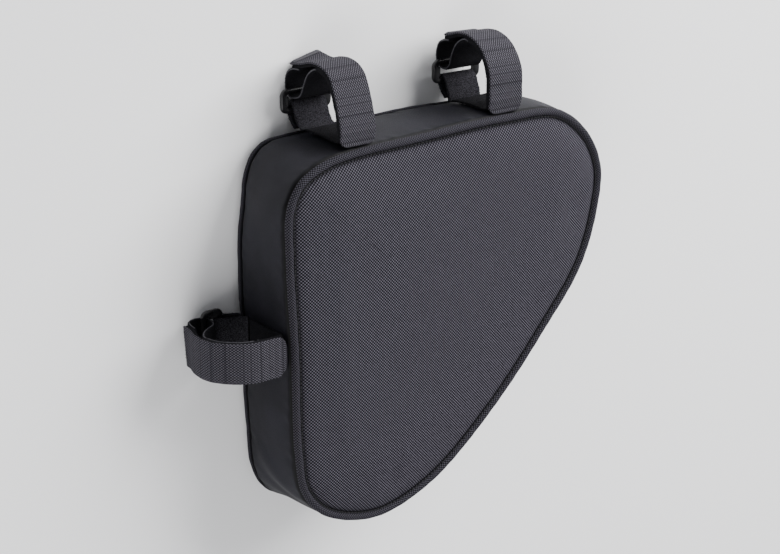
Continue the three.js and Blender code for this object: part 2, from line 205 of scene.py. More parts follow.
class Relief(NamedTuple):
    """A form of the gusset: its place and reach round the outline, its drift from front to
    back, the share of the depth at which it is strongest, and how far it stands out."""

    form: str
    around: float
    reach: float
    drift: float
    deepest: float
    out: float


RELIEFS = tuple(starmap(Relief, (
    ("hollow over the lower corner", 0.468, 0.016, 0.0, 0.62, -2.0),
    ("crease over that corner", 0.447, 0.009, -0.04, 0.5, -1.0),
    ("fold beside that crease", 0.43, 0.008, -0.05, 0.45, 0.5),
    ("soft dent of the left side", 0.3, 0.03, 0.01, 0.55, -0.7),
    ("pull under the upper left corner", 0.2, 0.012, 0.02, 0.5, -0.5),
)))

# Waves are rows of whole turns round the bag, phase, and amplitude in millimetres
PANEL_PUCKERS = ((61, 0.4, 0.16), (83, 2.1, 0.12), (37, 4.0, 0.14))
PANEL_SLACK = ((3, 0.6, 0.22), (5, 2.0, 0.16), (8, 4.4, 0.1))
GUSSET_PULL = ((71, 1.0, 0.1), (97, 3.0, 0.08), (43, 5.0, 0.1))
GUSSET_SLACK = ((4, 0.5, 0.2), (7, 2.2, 0.14), (11, 5.1, 0.1))
CORD_SWELL = ((53, 0.0, 0.05), (89, 2.0, 0.035), (17, 1.0, 0.04))


class RoutePoint(NamedTuple):
    """A point of a strap's route: depth as a share of the gusset's, height of the loop's."""

    depth: float
    height: float


def route(*points: Span) -> tuple[RoutePoint, ...]:
    """Route points from pairs of depth and height."""
    return tuple(starmap(RoutePoint, points))


STRAP_ROUTE = route(
    (0.046, 0.14), (0.042, 0.32), (0.042, 0.5), (0.085, 0.66), (0.19, 0.815), (0.33, 0.92),
    (0.52, 0.972), (0.71, 0.955), (0.87, 0.905),
)
SHARED_ROUTE = STRAP_ROUTE[2:7]
CINCH_ROUTE = route(
    (0.62, 0.885), (0.715, 0.8), (0.79, 0.66), (0.86, 0.505), (0.955, 0.452), (1.066, 0.448),
    (1.138, 0.505), (1.156, 0.63), (1.11, 0.76), (1.0, 0.825), (0.87, 0.845),
)
TAB_ROUTE_IN = route((0.915, 0.095), (0.965, 0.2), (0.997, 0.28))
TAB_ROUTE_OUT = route((1.138, 0.27), (1.098, 0.17), (1.04, 0.09), (0.985, 0.045))
TAB_FOLD_DEPTH = 1.066
TAB_FOOT = 0.85
BASE_RUN = (0.775, 0.62, 0.46, 0.3, 0.17)
BASE_BEND = RoutePoint(0.085, 0.068)
FOLLOWS_RING = (0.8, 0.95)
LEAN_LEVEL = 0.62
LEAN_REACH = 0.25
LEAN_ENDS = (0.15, 0.6)
LIFT_STARTS = (0.6, 0.85)
LIFT_FOOT = (0.05, 0.3)
LIFT_HEAD = (0.5, 0.85)
SKEW_REACH = 0.3
SKEW_FLOOR = 0.7


# Curves and meshes


def unit(vectors: Array) -> Array:
    """Vectors scaled to a length of one."""
    return vectors / np.maximum(np.linalg.norm(vectors, axis=-1, keepdims=True), 1e-9)


def catmull_rom(a: Array, b: Array, c: Array, d: Array, per_span: int) -> Array:
    """Sample centripetal Catmull-Rom spans from b to c with the neighbours a and d.

    Each span is the cubic through b and c whose end tangents blend the three chords, each
    chord's parameter being the square root of its length.

    Args:
        a, b, c, d: arrays of knots, one row for each span.
        per_span: samples in each span, its end left out.

    Returns:
        The samples of all spans, one after another.
    """
    dt0, dt1, dt2 = (
        np.linalg.norm(q - p, axis=1, keepdims=True) ** 0.5 for p, q in ((a, b), (b, c), (c, d))
    )
    t1 = ((b - a) / dt0 - (c - a) / (dt0 + dt1) + (c - b) / dt1) * dt1
    t2 = ((c - b) / dt1 - (d - b) / (dt1 + dt2) + (d - c) / dt2) * dt1
    s = np.linspace(0, 1, per_span, endpoint=False)[:, None, None]
    cubic = b + t1 * s + (3 * (c - b) - 2 * t1 - t2) * s**2 + (2 * (b - c) + t1 + t2) * s**3
    return cubic.transpose(1, 0, 2).reshape(-1, b.shape[1])


def closed_spline(knots: Array, per_span: int = 60) -> Array:
    """Closed centripetal spline through the knots, its first sample repeated at the end."""
    a, b, c, d = (np.roll(knots, shift, axis=0) for shift in (1, 0, -1, -2))
    line = catmull_rom(a, b, c, d, per_span)
    return np.vstack([line, line[:1]])


def open_spline(knots: Array, per_span: int = 30) -> Array:
    """Open centripetal spline through the knots, with its end chords mirrored outwards."""
    before = 2 * knots[:1] - knots[1:2]
    after = 2 * knots[-1:] - knots[-2:-1]
    k = np.vstack([before, knots, after])
    line = catmull_rom(k[:-3], k[1:-2], k[2:-1], k[3:], per_span)
    return np.vstack([line, knots[-1:]])


def lengths_along(line: Array) -> Array:
    """Running length at each point of a line."""
    return np.concatenate([[0.0], np.cumsum(np.linalg.norm(np.diff(line, axis=0), axis=1))])


def evenly(line: Array, steps: int) -> Array:
    """A line as steps + 1 evenly spaced points."""
    run = lengths_along(line)
    spots = np.linspace(0, run[-1], steps + 1)
    return np.stack([np.interp(spots, run, column) for column in line.T], axis=-1)


def left_normals(line: Array) -> Array:
    """Unit normals to the left of a plane line, from central differences."""
    along = unit(np.gradient(line, axis=0))
    return np.stack([-along[:, 1], along[:, 0]], axis=1)


def loop_normals(line: Array) -> Array:
    """Unit normals to the right of a closed plane line, whose last point is its first."""
    along = np.gradient(line, axis=0)
    along[0] = along[-1] = line[1] - line[-2]
    along = unit(along)
    return np.stack([along[:, 1], -along[:, 0]], axis=1)


def circle(sides: int) -> Array:
    """Angles of evenly spaced points round a circle."""
    return 2 * np.pi * np.arange(sides) / sides


def squarish(turn: Array, power: float) -> tuple[Array, Array]:
    """A superellipse: cosine and sine raised to a power, each with its sign kept."""
    c, s = np.cos(turn), np.sin(turn)
    return np.sign(c) * np.abs(c) ** power, np.sign(s) * np.abs(s) ** power


def smoothstep(low: float, high: float, x: Array) -> Array:
    """0 below low, 1 above high, and 3t^2 - 2t^3 between them."""
    t = np.clip((np.asarray(x, float) - low) / (high - low), 0, 1)
    return t * t * (3 - 2 * t)


def bell(x: Array, middle: float, reach: float) -> Array:
    """1 at the middle and 1/e a reach away: e to the minus square of the share of the reach."""
    return np.exp(-(((x - middle) / reach) ** 2))


def ripples(around: Array, waves: tuple[Triple, ...]) -> Array:
    """A sum of cosines at shares round a loop, from rows of turns, phase and amplitude."""
    turns, phase, size = np.array(waves, float).T
    return (size * np.cos(2 * np.pi * np.asarray(around)[..., None] * turns + phase)).sum(axis=-1)


def mesh_piece(name: str, points: Array, faces: list[Array], uv: Array | None = None) -> Piece:
    """Make a mesh object in place, its object at the origin.

    Args:
        name: the piece's name.
        points: (n, 3) places in millimetres.
        faces: arrays of (m, k) corners, each with its own k.
        uv: (corners, 2) places on the cloth in millimetres, in the faces' order.

    Returns:
        The object, linked to the scene.
    """
    mesh = bpy.data.meshes.new(name)
    mesh.vertices.add(len(points))
    mesh.vertices.foreach_set("co", (points * MM).astype(np.float32).ravel())
    corners = np.concatenate([f.ravel() for f in faces]).astype(np.int32)
    sizes = np.concatenate([np.full(len(f), f.shape[1]) for f in faces])
    mesh.loops.add(len(corners))
    mesh.loops.foreach_set("vertex_index", corners)
    mesh.polygons.add(len(sizes))
    starts = np.concatenate([[0], np.cumsum(sizes)[:-1]]).astype(np.int32)
    mesh.polygons.foreach_set("loop_start", starts)
    mesh.polygons.foreach_set("use_smooth", np.ones(len(sizes), bool))
    if uv is not None:
        layer = mesh.uv_layers.new(name="cloth")
        layer.data.foreach_set("uv", (uv * MM).astype(np.float32).ravel())
    mesh.update(calc_edges=True)
    mesh.validate()
    piece = bpy.data.objects.new(name, mesh)
    bpy.context.scene.collection.objects.link(piece)
    return piece


def points_of(piece: Piece) -> Array:
    """Places of a mesh's points in millimetres."""
    flat = np.empty(len(piece.data.vertices) * 3, np.float32)
    piece.data.vertices.foreach_get("co", flat)
    return flat.reshape(-1, 3) / MM


def signed_volume(points: Array, quads: Array) -> float:
    """Volume inside a closed surface of quads, negative where it is inside out."""
    a, b, c, d = (points[quads[:, k]] for k in range(4))
    return float((np.cross(a, b) * c).sum() + (np.cross(a, c) * d).sum()) / 6


def lofted(name: str, rings: Array, cyclic: bool = False, uv: Array | None = None) -> Piece:
    """A closed body from rings of points: a grid of quads whose columns close on themselves.

    Args:
        name: the piece's name.
        rings: (n, m, 3) points, one ring in each row.
        cyclic: True where the last ring meets the first, False where both ends are closed
            by a fan of triangles.
        uv: (n or n + 1, m + 1, 2) places on the cloth, with the closing row and column.

    Returns:
        The object, its faces pointing outwards.
    """
    n, m = rings.shape[:2]
    points = rings.reshape(-1, 3)
    rows, cols = np.meshgrid(np.arange(n if cyclic else n - 1), np.arange(m), indexing="ij")
    i, j = rows.ravel(), cols.ravel()
    steps = ((0, 0), (1, 0), (1, 1), (0, 1))
    quads = np.stack([((i + a) % n) * m + (j + b) % m for a, b in steps], axis=1)
    cloth = None if uv is None else np.stack([uv[i + a, j + b] for a, b in steps], axis=1)
    flip = signed_volume(points, quads) < 0
    if flip:
        quads = quads[:, ::-1]
        cloth = None if cloth is None else cloth[:, ::-1]
    faces = [quads]
    corners = [] if cloth is None else [cloth.reshape(-1, 2)]
    if not cyclic:
        points = np.vstack([points, rings[0].mean(axis=0), rings[-1].mean(axis=0)])
        k = np.arange(m)
        for end, (row, turned) in enumerate(((0, flip), (n - 1, not flip))):
            pair = ((k + 1) % m, k) if turned else (k, (k + 1) % m)
            centre = np.full(m, n * m + end)
            faces.append(np.stack([centre, row * m + pair[0], row * m + pair[1]], axis=1))
            if cloth is not None:
                rim = uv[row, :-1]
                middle = np.broadcast_to(rim.mean(axis=0), rim.shape)
                corners.append(np.stack([middle, rim[pair[0]], rim[pair[1]]], axis=1).reshape(-1, 2))
    return mesh_piece(name, points, faces, np.vstack(corners) if corners else None)


def copies(name: str, shape: Array, quads: Array, origins: Array, frames: Array) -> Piece:
    """Many copies of a small shape as one mesh.

    Args:
        name: the piece's name.
        shape: (v, 3) points of one copy.
        quads: (q, 4) faces of one copy.
        origins: (c, 3) place of each copy.
        frames: (c, 3, 3) axes of each copy, one axis in each row.

    Returns:
        The joined mesh object.
    """
    points = np.einsum("vk,ckd->cvd", shape, frames) + origins[:, None]
    faces = quads[None] + (np.arange(len(origins)) * len(shape))[:, None, None]
    return mesh_piece(name, points.reshape(-1, 3), [faces.reshape(-1, 4)])


def tube_quads(rings: int, sides: int) -> Array:
    """Faces of a tube whose two ends are drawn together to a point."""
    i, j = (g.ravel() for g in np.meshgrid(np.arange(rings - 1), np.arange(sides), indexing="ij"))
    k = (j + 1) % sides
    return np.stack([i * sides + j, i * sides + k, (i + 1) * sides + k, (i + 1) * sides + j], axis=1)


def tube_shape(line: Array, radii: Array, sides: int) -> Array:
    """A thin tube along a line: a circle of the given radius about each point.

    Args:
        line: (r, 3) points, nowhere along Y.
        radii: (r,) radius at each point.
        sides: points of each circle.

    Returns:
        (r * sides, 3) points.
    """
    along = unit(np.gradient(line, axis=0))
    across = np.array([0.0, 1.0, 0.0])
    up = np.cross(along, across)
    turn = circle(sides)
    spoke = np.cos(turn)[None, :, None] * across + np.sin(turn)[None, :, None] * up[:, None]
    return (line[:, None] + radii[:, None, None] * spoke).reshape(-1, 3)


THREAD_RINGS = 7
TUBE_SIDES = 6
FIBRE_SIDES = 3
FIBRE_BEND = 0.5
FIBRE_TAPER = np.array([1.0, 0.9, 0.7, 0.05])


def arched_thread(
    length: float, radius: float, rise: float, sink: float, thin: float
) -> tuple[Array, Array]:
    """A short thread that rises in a low arch and dives at both ends.

    Its middle follows a half sine, and its thickness the square root of the same half sine.

    Args:
        length: from end to end.
        radius: of the thread.
        rise: height of the arch.
        sink: how far the ends lie under the surface.
        thin: what is added under the root, so that the ends keep a thickness.

    Returns:
        Its points, X along it and Z up, and its faces.
    """
    run = np.linspace(0, 1, THREAD_RINGS)
    arch = np.clip(np.sin(np.pi * run), 0.0, 1.0)
    line = np.stack([(run - 0.5) * length, 0 * run, rise * arch - sink], axis=1)
    shape = tube_shape(line, radius * np.sqrt(arch + thin), TUBE_SIDES)
    return shape, tube_quads(THREAD_RINGS, TUBE_SIDES)


def strands(name: str, roots: Array, out: Array, lengths: Array, radius: float, rng: Random) -> Piece:
    """Bent fibres: each is a three-sided thread whose line leans over with the square of the way.

    Args:
        name: the piece's name.
        roots: (n, 3) where the fibres start.
        out: (n, 3) directions in which they stand.
        lengths: (n,) their lengths.
        radius: of a fibre of the mean length.
        rng: the source of random turns.

    Returns:
        All fibres as one piece.
    """
    run = np.linspace(0, 1, len(FIBRE_TAPER))
    line = np.stack([FIBRE_BEND * run**2, 0 * run, run], axis=1)
    shape = tube_shape(line, radius / lengths.mean() * FIBRE_TAPER, FIBRE_SIDES)
    up = unit(out)
    side = unit(np.cross(up, rng.normal(0, 1, up.shape)))
    frames = np.stack([side, np.cross(up, side), up], axis=1) * lengths[:, None, None]
    return copies(name, shape, tube_quads(len(run), FIBRE_SIDES), roots, frames)


# Finishes


class Speckle(NamedTuple):
    """Noise of so many cells a metre, and the range of it that is spread out."""

    cells: float
    detail: float
    low: float = 0.0
    high: float = 1.0


# What full stripes and full ribs of the webbing add up to
BOTH_LINES = 2.0


def scaled(colour: Triple, share: float) -> Triple:
    """A colour made lighter or darker."""
    return tuple(share * part for part in colour)


class Shader:
    """A material's node tree, with short calls for the nodes that the finishes use."""

    def __init__(self, name: str) -> None:
        """Start a material that holds only its shader and its output."""
        self.material = bpy.data.materials.new(name)
        self.material.use_nodes = True
        self.tree = self.material.node_tree
        self.bsdf = self.tree.nodes["Principled BSDF"]

    def _put(self, socket: Socket, value: object) -> None:
        """Link a socket to another one, or set it to a number or a colour of three parts."""
        if isinstance(value, Socket):
            self.tree.links.new(value, socket)
        elif value is not None:
            socket.default_value = (*value, 1.0) if isinstance(value, tuple) else value

    def node(self, kind: str, **settings: object) -> bpy.types.Node:
        """A new node with the given settings."""
        made = self.tree.nodes.new(kind)
        for name, value in settings.items():
            setattr(made, name, value)
        return made

    def math(self, op: str, a: object, b: object = None) -> Socket:
        """A Math node of one or two inputs."""
        made = self.node("ShaderNodeMath", operation=op)
        for socket, value in zip(made.inputs, (a, b)):
            self._put(socket, value)
        return made.outputs[0]

    def ramp(
        self, value: object, low: float, high: float, to_low: float = 0.0, to_high: float = 1.0
    ) -> Socket:
        """Map a range smoothly to another."""
        made = self.node("ShaderNodeMapRange", interpolation_type="SMOOTHSTEP", clamp=True)
        for socket, given in zip(made.inputs, (value, low, high, to_low, to_high)):
            self._put(socket, given)
        return made.outputs[0]

    def blend(self, share: object, a: object, b: object) -> Socket:
        """Mix two colours."""
        made = self.node("ShaderNodeMix", data_type="RGBA")
        for name, value in (("Factor", share), ("A", a), ("B", b)):
            self._put(made.inputs[name], value)
        return next(s for s in made.outputs if s.type == "RGBA")

    def coords(self, uv: bool = False) -> Socket:
        """The piece's own cloth coordinates, or its place in the object, in metres."""
        if uv:
            return self.node("ShaderNodeUVMap", uv_map="cloth").outputs["UV"]
        return self.node("ShaderNodeTexCoord").outputs["Object"]

    def seam(self) -> Socket:
        """How strongly painted shade darkens a point in a seam, from the mesh; nothing where the mesh has
        none.
        """
        return self.node("ShaderNodeAttribute", attribute_name="seam").outputs["Fac"]

    def along_x(self, x: Socket) -> Socket:
        """A vector with the given X and no Y or Z, for tones that run in rows."""
        vector = self.node("ShaderNodeCombineXYZ")
        self._put(vector.inputs["X"], x)
        return vector.outputs[0]

    def noise(self, vector: Socket, cells: float, detail: float) -> Socket:
        """Noise of so many cells a metre."""
        made = self.node("ShaderNodeTexNoise")
        for name, value in (("Vector", vector), ("Scale", cells), ("Detail", detail)):
            self._put(made.inputs[name], value)
        return made.outputs[0]

    def speckle(self, vector: Socket, kind: Speckle, to_low: float = 0.0, to_high: float = 1.0) -> Socket:
        """Noise with its range spread smoothly over another."""
        return self.ramp(self.noise(vector, kind.cells, kind.detail), kind.low, kind.high, to_low, to_high)

    def split(self, vector: Socket) -> tuple[Socket, ...]:
        """The three parts of a vector."""
        made = self.node("ShaderNodeSeparateXYZ")
        self._put(made.inputs[0], vector)
        return tuple(made.outputs)

    def finish(
        self, colour: object, rough: object, shine: float, height: Socket | None = None, depth: float = 0.0
    ) -> Material:
        """Set the shader's inputs.

        Args:
            colour: a colour or a socket.
            rough: roughness, or a socket.
            shine: the shader's specular level.
            height: a socket from 0 to 1 for the bump.
            depth: what a height of 1 stands out, in millimetres.

        Returns:
            The material.
        """
        for name, value in (("Base Color", colour), ("Roughness", rough), ("Specular IOR Level", shine)):
            self._put(self.bsdf.inputs[name], value)
        if height is not None:
            bump = self.node("ShaderNodeBump")
            for name, value in (("Distance", depth * MM), ("Strength", 1.0), ("Height", height)):
                self._put(bump.inputs[name], value)
            self._put(self.bsdf.inputs["Normal"], bump.outputs[0])
        return self.material


@dataclass(frozen=True)
class WovenFinish:
    """Coarse plain weave: yarns a pitch apart, over and under each other, with painted highlights on the
    crossings and painted shade in the gaps.
    """

    name: str
    # light is a painted highlight on the upper yarn; dark is painted shade in the gaps and on the yarn
    # beneath, and also the colour of worn spots, bands and seam shade
    light: Triple = (0.096, 0.09, 0.113)
    dark: Triple = (0.0016, 0.0015, 0.0024)
    over: Span = (-0.16, 0.52)
    pitch: float = 1.0
    stretch: float = 1.0
    depth: float = 0.3
    uv: bool = False
    bands: float = 0.0
    wear: float = 0.12
    worn: Speckle = Speckle(300.0, 4.0, 0.36, 0.7)
    fibre: Speckle = Speckle(4200.0, 1.0)
    stripes: Speckle = Speckle(460.0, 0.0, 0.54, 0.68)
    rib_rate: float = 0.8
    ribs: Span = (0.5, 1.0)
    yarn_height: float = 0.5
    fibre_height: float = 0.2
    rough: float = 0.8
    shine: float = 0.08

    def material(self) -> Material:
        """Build the weave: the product of two sines is a chequer of rounded crossings, which follows the
        real weave; the yarn on top is painted light where it is positive, a painted highlight, and the one
        beneath painted dark where it is negative, painted shade."""
        s = Shader(self.name)
        place = s.coords(self.uv)
        x, y, _ = s.split(place)
        turns = math.pi / (self.pitch * MM)
        rates = ((x, turns / self.stretch), (y, turns))
        product = s.math("MULTIPLY", *(s.math("SINE", s.math("MULTIPLY", *pair)) for pair in rates))
        # Painted highlight and painted shade laid out on the weave's chequer
        yarn = s.blend(s.ramp(product, *self.over), self.dark, self.light)
        tone = s.blend(s.speckle(place, self.worn, 0.0, self.wear), yarn, self.dark)
        if self.bands:
            stripe = s.speckle(s.along_x(x), self.stripes)
            row = s.math("SINE", s.math("MULTIPLY", x, turns * self.rib_rate))
            lines = s.math("ADD", stripe, s.ramp(row, *self.ribs))
            tone = s.blend(s.ramp(lines, 0.0, BOTH_LINES, 0.0, BOTH_LINES * self.bands), tone, self.dark)
        # Painted shade: the cloth is darkened to the dark colour in its seams.
        tone = s.blend(s.seam(), tone, self.dark)
        fibre = s.noise(place, self.fibre.cells, self.fibre.detail)
        heights = ((product, self.yarn_height), (fibre, self.fibre_height))
        height = s.math("ADD", *(s.math("MULTIPLY", *pair) for pair in heights))
        return s.finish(tone, self.rough, self.shine, height, self.depth)


@dataclass(frozen=True)
class SmoothFinish:
    """Fine coated cloth: a dark, even face with a hair-fine weave and soft creases."""

    name: str
    base: Triple = (0.009, 0.0088, 0.0122)
    # Colour of the painted shade in the seams
    seam: Triple = (0.0008, 0.0008, 0.001)
    pitch: float = 0.34
    depth: float = 0.035
    cloud: Speckle = Speckle(34.0, 3.0, 0.3, 0.72)
    dark: float = 0.78
    pale: float = 1.35
    detail: float = 2.0
    grain: Span = (0.25, 0.75)
    rough: Span = (0.5, 0.66)
    shine: float = 0.12

    def material(self) -> Material:
        """Build a fine grain and a faint cloudiness over an even colour, darkened by painted shade in the
        seams.
        """
        s = Shader(self.name)
        place = s.coords()
        grain = s.noise(place, 1 / (self.pitch * MM), self.detail)
        dark, pale = scaled(self.base, self.dark), scaled(self.base, self.pale)
        # Painted shade: the cloudy colour is darkened towards the seam colour in the seams.
        colour = s.blend(s.seam(), s.blend(s.speckle(place, self.cloud), dark, pale), self.seam)
        return s.finish(colour, s.ramp(grain, *self.grain, *self.rough), self.shine, grain, self.depth)


@dataclass(frozen=True)
class PileFinish:
    """Loop pile of the hook-and-loop straps: short tangled fibres, with painted shade in their hollows."""

    name: str
    # base is painted shade deep in the pile; tip is the colour of the fibres' tops
    base: Triple = (0.004, 0.004, 0.005)
    tip: Triple = (0.012, 0.0118, 0.0142)
    cell: float = 0.55
    detail: float = 4.0
    fine_rate: float = 4.0
    fine_detail: float = 2.0
    fine_share: float = 0.5
    tips: Span = (0.6, 0.95)
    depth: float = 0.4
    shine: float = 0.08

    def material(self) -> Material:
        """Build clumps of fibre from two sizes of noise; the low places are darkened towards the base
        colour, painted shade in the pile's hollows.
        """
        s = Shader(self.name)
        place = s.coords()
        clump = s.noise(place, 1 / (self.cell * MM), self.detail)
        fine = s.noise(place, self.fine_rate / (self.cell * MM), self.fine_detail)
        height = s.math("ADD", clump, s.math("MULTIPLY", fine, self.fine_share))
        # Painted shade: the pile darkens where its height is low.
        colour = s.blend(s.ramp(height, *self.tips), self.base, self.tip)
        return s.finish(colour, 1.0, self.shine, height, self.depth)


@dataclass(frozen=True)
class PlasticFinish:
    """Moulded plastic with a fine grain and faint scuffs."""

    name: str
    base: Triple = (0.007, 0.007, 0.008)
    pale: float = 1.8
    pale_patches: Span = (0.45, 0.8)
    grain: Speckle = Speckle(2600.0, 2.0)
    patch: Speckle = Speckle(160.0, 3.0, 0.3, 0.7)
    rough: Span = (0.24, 0.44)
    depth: float = 0.03
    shine: float = 0.42

    def material(self) -> Material:
        """Build a fine grain, with smoother and duller patches."""
        s = Shader(self.name)
        place = s.coords()
        grain = s.noise(place, self.grain.cells, self.grain.detail)
        patch = s.noise(place, self.patch.cells, self.patch.detail)
        rough = s.ramp(patch, self.patch.low, self.patch.high, *self.rough)
        colour = s.blend(s.ramp(patch, *self.pale_patches), self.base, scaled(self.base, self.pale))
        return s.finish(colour, rough, self.shine, grain, self.depth)


@dataclass(frozen=True)
class ThreadFinish:
    """Twisted sewing thread."""

    name: str
    base: Triple = (0.006, 0.006, 0.0072)
    pale: float = 2.2
    twist: Speckle = Speckle(2400.0, 1.0, 0.35, 0.65)
    rough: float = 0.7
    depth: float = 0.05
    shine: float = 0.3

    def material(self) -> Material:
        """Build fine noise over the thread's colour."""
        s = Shader(self.name)
        twist = s.noise(s.coords(), self.twist.cells, self.twist.detail)
        share = s.ramp(twist, self.twist.low, self.twist.high)
        colour = s.blend(share, self.base, scaled(self.base, self.pale))
        return s.finish(colour, self.rough, self.shine, twist, self.depth)


class Look(Enum):
    """The finishes of the bag's pieces."""

    # In the woven looks, light is a painted highlight on the yarns and dark is painted shade between them
    WOVEN = WovenFinish("woven_panel")
    PIPING = WovenFinish(
        "woven_piping", light=(0.052, 0.049, 0.061), over=(-0.2, 0.4), pitch=0.9, depth=0.22, uv=True
    )
    WEBBING = WovenFinish(
        "webbing_face", light=(0.088, 0.083, 0.1), dark=(0.0042, 0.004, 0.0056), over=(-0.2, 0.36),
        pitch=0.82, stretch=1.3, depth=0.36, uv=True, bands=0.4,
    )
    SMOOTH = SmoothFinish("smooth_gusset")
    TAPE = SmoothFinish("zip_tape", base=(0.007, 0.007, 0.0082), pitch=0.5, depth=0.12)
    PILE = PileFinish("loop_pile")
    GREY_PILE = PileFinish("grey_loop_pile", base=(0.0036, 0.0035, 0.0044), tip=(0.042, 0.0405, 0.048))
    PLASTIC = PlasticFinish("black_plastic")
    THREAD = ThreadFinish("dark_thread")
    WEBBING_THREAD = ThreadFinish("webbing_thread", base=(0.02, 0.0193, 0.0235))
    # Pale thread: the colour of loose and cut threads, and a painted highlight where it makes the edge cords
    SELVEDGE = ThreadFinish("pale_thread_and_edge_highlight", base=(0.022, 0.0213, 0.0255))


@lru_cache(maxsize=None)
def material_of(look: Look) -> Material:
    """The material of a finish, made when it is first asked for."""
    return look.value.material()


def dress(piece: Piece, look: Look, slot: str, *nodes: str) -> None:
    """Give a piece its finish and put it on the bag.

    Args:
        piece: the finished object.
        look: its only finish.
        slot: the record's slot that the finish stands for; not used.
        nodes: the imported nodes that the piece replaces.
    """
    piece.data.materials.clear()
    piece.data.materials.append(material_of(look))
    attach(piece, BODY)
    if nodes:
        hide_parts(*nodes)
    LOG.info("%s: %d faces", piece.name, len(piece.data.polygons))


def paint_seam_shade(piece: Piece, values: Array) -> None:
    """Store on a mesh how strongly painted seam shade darkens each point, in the order of its rings."""
    full = np.zeros(len(piece.data.vertices), np.float32)
    full[: values.size] = values.ravel()
    piece.data.attributes.new("seam", "FLOAT", "POINT").data.foreach_set("value", full)


# The bag's body


class Outline:
    """The seam's rounded triangle, read by the share of its length."""

    def __init__(self, bag: BagSizes, table: tuple[OutlineRow, ...]) -> None:
        """Sample the closed spline through the table's points.

        Args:
            bag: the sizes that the shares belong to.
            table: the outline's points.
        """
        self.bag = bag
        line = closed_spline(np.array([(row.across * bag.width, row.up * bag.height) for row in table]))
        self.length = float(lengths_along(line)[-1])
        self.line = evenly(line, OUTLINE_STEPS)
        self.normal = loop_normals(self.line)
        self.share = np.linspace(0, 1, len(self.line))

    def drift(self, share: Array, depth: Array) -> Array:
        """How far the outline stands out of the front seam's: bells round the outline that
        grow with a power of the depth."""
        total = np.zeros(np.shape(share))
        for row in DRIFTS:
            away = share - row.around
            total += row.out * bell(away, np.round(away), row.reach)
        return total * self.bag.gusset_depth * depth**DRIFT_POWER

    def at(self, around: Array, outwards: Array, height: Array | float, depth: Array | float) -> Array:
        """Points beside the outline.

        Each is the outline's point moved along its normal by the distance and the back's
        drift, and turned about Z in proportion to the depth, because the soft bag hangs a
        little racked.

        Args:
            around: share of the outline's length.
            outwards: distance from the seam, negative inwards.
            height: z of the point.
            depth: share of the gusset's depth, 0 at the front.

        Returns:
            Points of the arguments' common shape, with a last axis of 3.
        """
        around, outwards, height, depth = np.broadcast_arrays(around, outwards, height, depth)
        share = np.mod(around, 1.0)
        columns = (*self.line.T, *self.normal.T)
        px, py, nx, ny = (np.interp(share, self.share, column) for column in columns)
        out = outwards + self.drift(share, depth)
        x, y = px + nx * out, py + ny * out
        c, s = np.cos(self.bag.rack * depth), np.sin(self.bag.rack * depth)
        return np.stack([x * c - y * s, x * s + y * c, height], axis=-1)

    def axes(
        self, around: Array | float, inset: float, level: float, depth: float, up: float, step: float = 1e-4
    ) -> tuple[Array, Array, Array, Array]:
        """Places inside the outline, with their directions.

        Args:
            around: shares of the outline's length.
            inset: distance from the seam.
            level: z of the places.
            depth: share of the gusset's depth.
            up: 1 where up is +Z, -1 where it is -Z.
            step: share of the outline over which its direction is taken.

        Returns:
            The places, and unit vectors along the outline, across it and up.
        """
        place = self.at(around, -inset, level, depth)
        along = unit(self.at(around + step, -inset, level, depth) - place)
        upwards = np.broadcast_to([0.0, 0.0, float(up)], along.shape)
        return place, along, np.cross(upwards, along), upwards

    def inset_of(self, spots: Array, depth: float, stride: int = 6) -> Array:
        """Distance of plane points inside the outline.

        Args:
            spots: (n, 2) points.
            depth: share of the depth whose turn the outline has.
            stride: step between the outline's points that are looked at.

        Returns:
            (n,) distances to the nearest point of the outline.
        """
        loop = self.at(self.share[::stride], 0.0, 0.0, depth)[:, :2]
        return np.sqrt(((spots[:, None] - loop[None]) ** 2).sum(axis=-1).min(axis=1))


